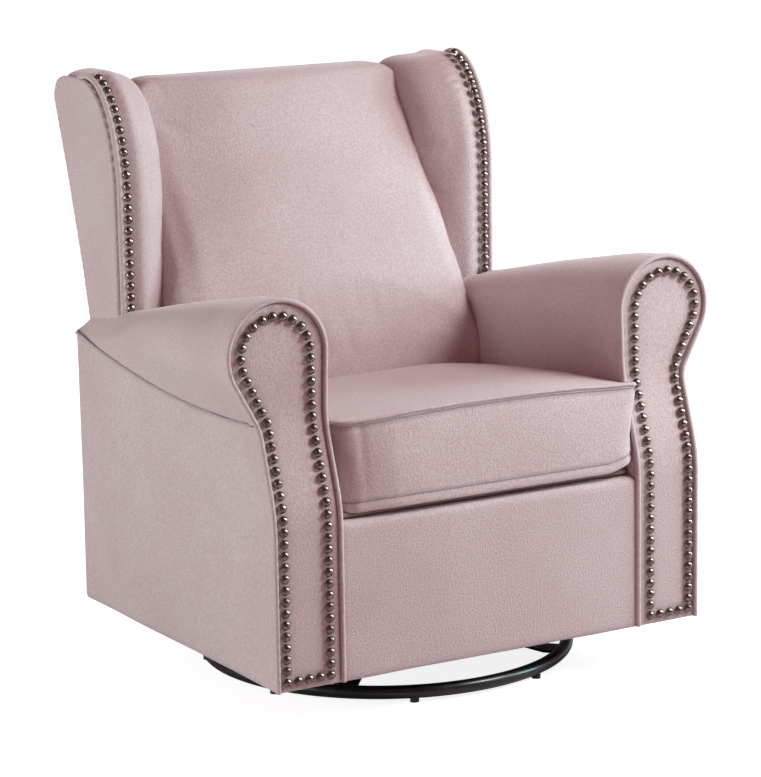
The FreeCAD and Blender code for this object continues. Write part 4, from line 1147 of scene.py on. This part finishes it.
def back_cushion():
    piece = soften_quads(solid_copy("back_cushion", "back_cushion_cover"), size=0.0075, rounds=3)
    low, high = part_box("back_cushion")

    def edge_line(pick):
        """The straight line that the cushion's front or rear follows from its middle to near its top."""
        heights = (low.z + LINE_LOW, high.z - LINE_HIGH)
        ends = [pick(v.co.y for v in piece.data.vertices if abs(v.co.z - z) < LINE_ZONE) for z in heights]
        slope = (ends[1] - ends[0]) / (heights[1] - heights[0])
        return lambda z: ends[0] + slope * (z - heights[0])

    front_line, rear_line = edge_line(min), edge_line(max)

    def held(co):
        bottom = dent(co.z - low.z, BACK_HELD)
        rear = 1.0 if rear_line(co.z) - co.y < REAR_HELD else 0.0
        return min(1.0, bottom + rear)

    fill_cover(piece, held, pressure=3.0, cap=0.007)
    soften(piece, 6)
    subdivide_once(piece)

    def plump(co, normal):
        """Press the sides against the wings, crown the front and square up the top corners."""
        way = 1 if co.x > 0 else -1
        out = abs(co.x) / high.x
        height = ramp(co.z, low.z, low.z + PLUMP_RISE)
        rise = BACK_CORNER[way] * ramp(out, CORNER_FROM, 1.0) * ramp(co.z, high.z - CORNER_DROP, high.z)
        front, rear = front_line(co.z), rear_line(co.z)
        share = clamp((rear - co.y) / (rear - front))
        fore = share * (BACK_CROWN * (1 - out ** 2) + BACK_SIDE[way] * ramp(out, SIDE_FROM, 1.0))
        return Vector((way * BACK_SPREAD[way] * height * out, -fore * height, rise))

    def wrinkle(co, normal):
        """Short creases of spare cloth at the top edge and at the small of the back."""
        lift = 0.0
        if normal.y < CREASED_FRONT:
            for x0, z0, x1, z1, width, deep in BACK_CREASES:
                along = Vector((x1 - x0, z1 - z0))
                here = Vector((co.x - x0, co.z - z0))
                t = clamp(here.dot(along) / along.length_squared)
                lift -= deep * dent((here - along * t).length, width) * (1 - CREASE_FADE * t)
        return normal * lift

    move_points(piece, plump)
    move_points(piece, wrinkle)
    return piece


finish_piece(back_cushion(), ["back_cushion"])

# %% [markdown]
# ## Ring base
# The ring is one bent and welded tube in black enamel. It is turned as a torus fine
# enough to reflect smoothly, with the ground bead of its weld. Spokes and glides keep
# their solids.

# %% Ring
ring_low, ring_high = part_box("base_ring")
TUBE_R = (ring_high.z - ring_low.z) / 2
RING_R = (ring_high.x - ring_low.x) / 2 - TUBE_R
TUBE_FULL = 1.1
WELD_AT, WELD_H, WELD_W = math.radians(75), 0.0014, 0.009
print("ring tube", round(2 * TUBE_R, 4), "across, ring", round(2 * RING_R, 3))


def weld_bead(co, normal):
    """A ground weld bead where the tube's ends meet."""
    along = (math.atan2(co.y, co.x) - WELD_AT) * RING_R
    return normal * WELD_H * dent(along, WELD_W)


bpy.ops.mesh.primitive_torus_add(major_segments=256, minor_segments=20, major_radius=RING_R,
                                 minor_radius=TUBE_R * TUBE_FULL)
ring = bpy.context.active_object
ring.name = "ring_tube"
move_points(ring, weld_bead)
ring.data.transform(Matrix.Translation((0, SWIVEL_Y, (ring_low.z + ring_high.z) / 2)))
finish_piece(ring, ["base_ring"], body="base", slot="black_steel")

# %% [markdown]
# ## Studio
# A pale floor, a white surround and soft lamps. The surround is white only for the
# camera; what lights the chair is a faint reddish dome, duller still in reflections,
# and four large, slightly cool lamps. Together they give the pink its deep shadows and
# pale lights. The floor glows white for the camera, less so near the chair, where its
# shadow falls.

# %% Floor, world and lamps
FLOOR_COLOUR = (0.62, 0.55, 0.55, 1)
GLOW = {"From Min": 0.6, "From Max": 1.6, "To Min": 0.86, "To Max": 1.0}
WHITE, DOME, DOME_MIRRORED = (1, 1, 1, 1), (0.33, 0.140, 0.155, 1), (0.12, 0.095, 0.09, 1)
AIM, REAR_AIM = Vector((0, -0.1, 0.5)), Vector((0, 0, 0.5))
bpy.ops.mesh.primitive_plane_add(size=80)
floor = bpy.context.active_object
floor.name = "studio_floor"
floor_material, tree, shader = new_material("studio_floor")
rays = tree.nodes.new("ShaderNodeLightPath")
reach = tree.nodes.new("ShaderNodeVectorMath")
reach.operation = "LENGTH"
feed(reach, {0: object_place(tree)})
glow = tree.nodes.new("ShaderNodeMapRange")
feed(glow, {"Value": reach.outputs["Value"], **GLOW})
white = math_node(tree, "MULTIPLY", rays.outputs["Is Camera Ray"], glow.outputs["Result"])
feed(shader, {"Base Color": FLOOR_COLOUR, "Roughness": 0.9, "Specular IOR Level": 0.0,
              "Emission Color": WHITE, "Emission Strength": white})
floor.data.materials.append(floor_material)

world = bpy.data.worlds.new("studio")
scene.world = world
world.use_nodes = True
tree = world.node_tree
rays = tree.nodes.new("ShaderNodeLightPath")
seen = math_node(tree, "MAXIMUM", rays.outputs["Is Camera Ray"], rays.outputs["Is Transmission Ray"])
dome = mix_colour(tree, rays.outputs["Is Glossy Ray"], DOME, DOME_MIRRORED)
feed(tree.nodes["Background"], {"Color": mix_colour(tree, seen, dome, WHITE)})


def lamp(name, at, aim, size, power, tint):
    data = bpy.data.lights.new(name, "AREA")
    set_all(data, {"size": size, "energy": power, "color": tint})
    item = bpy.data.objects.new(name, data)
    item.location = at
    item.rotation_euler = (aim - Vector(at)).to_track_quat("-Z", "Y").to_euler()
    scene.collection.objects.link(item)


lamp("key", (1.45, -1.5, 2.05), AIM, size=0.9, power=56, tint=(0.94, 1.0, 1.0))
lamp("side", (2.6, -1.1, 1.2), AIM, size=1.1, power=62, tint=(0.64, 1.0, 1.0))
lamp("fill", (-3.0, 0.3, 0.7), AIM, size=1.4, power=57, tint=(0.78, 1.0, 0.97))
lamp("rear", (0.9, 3.2, 1.9), REAR_AIM, size=2.2, power=40, tint=(0.80, 1.0, 1.0))
scene.view_settings.view_transform = "Standard"
print("studio ready")
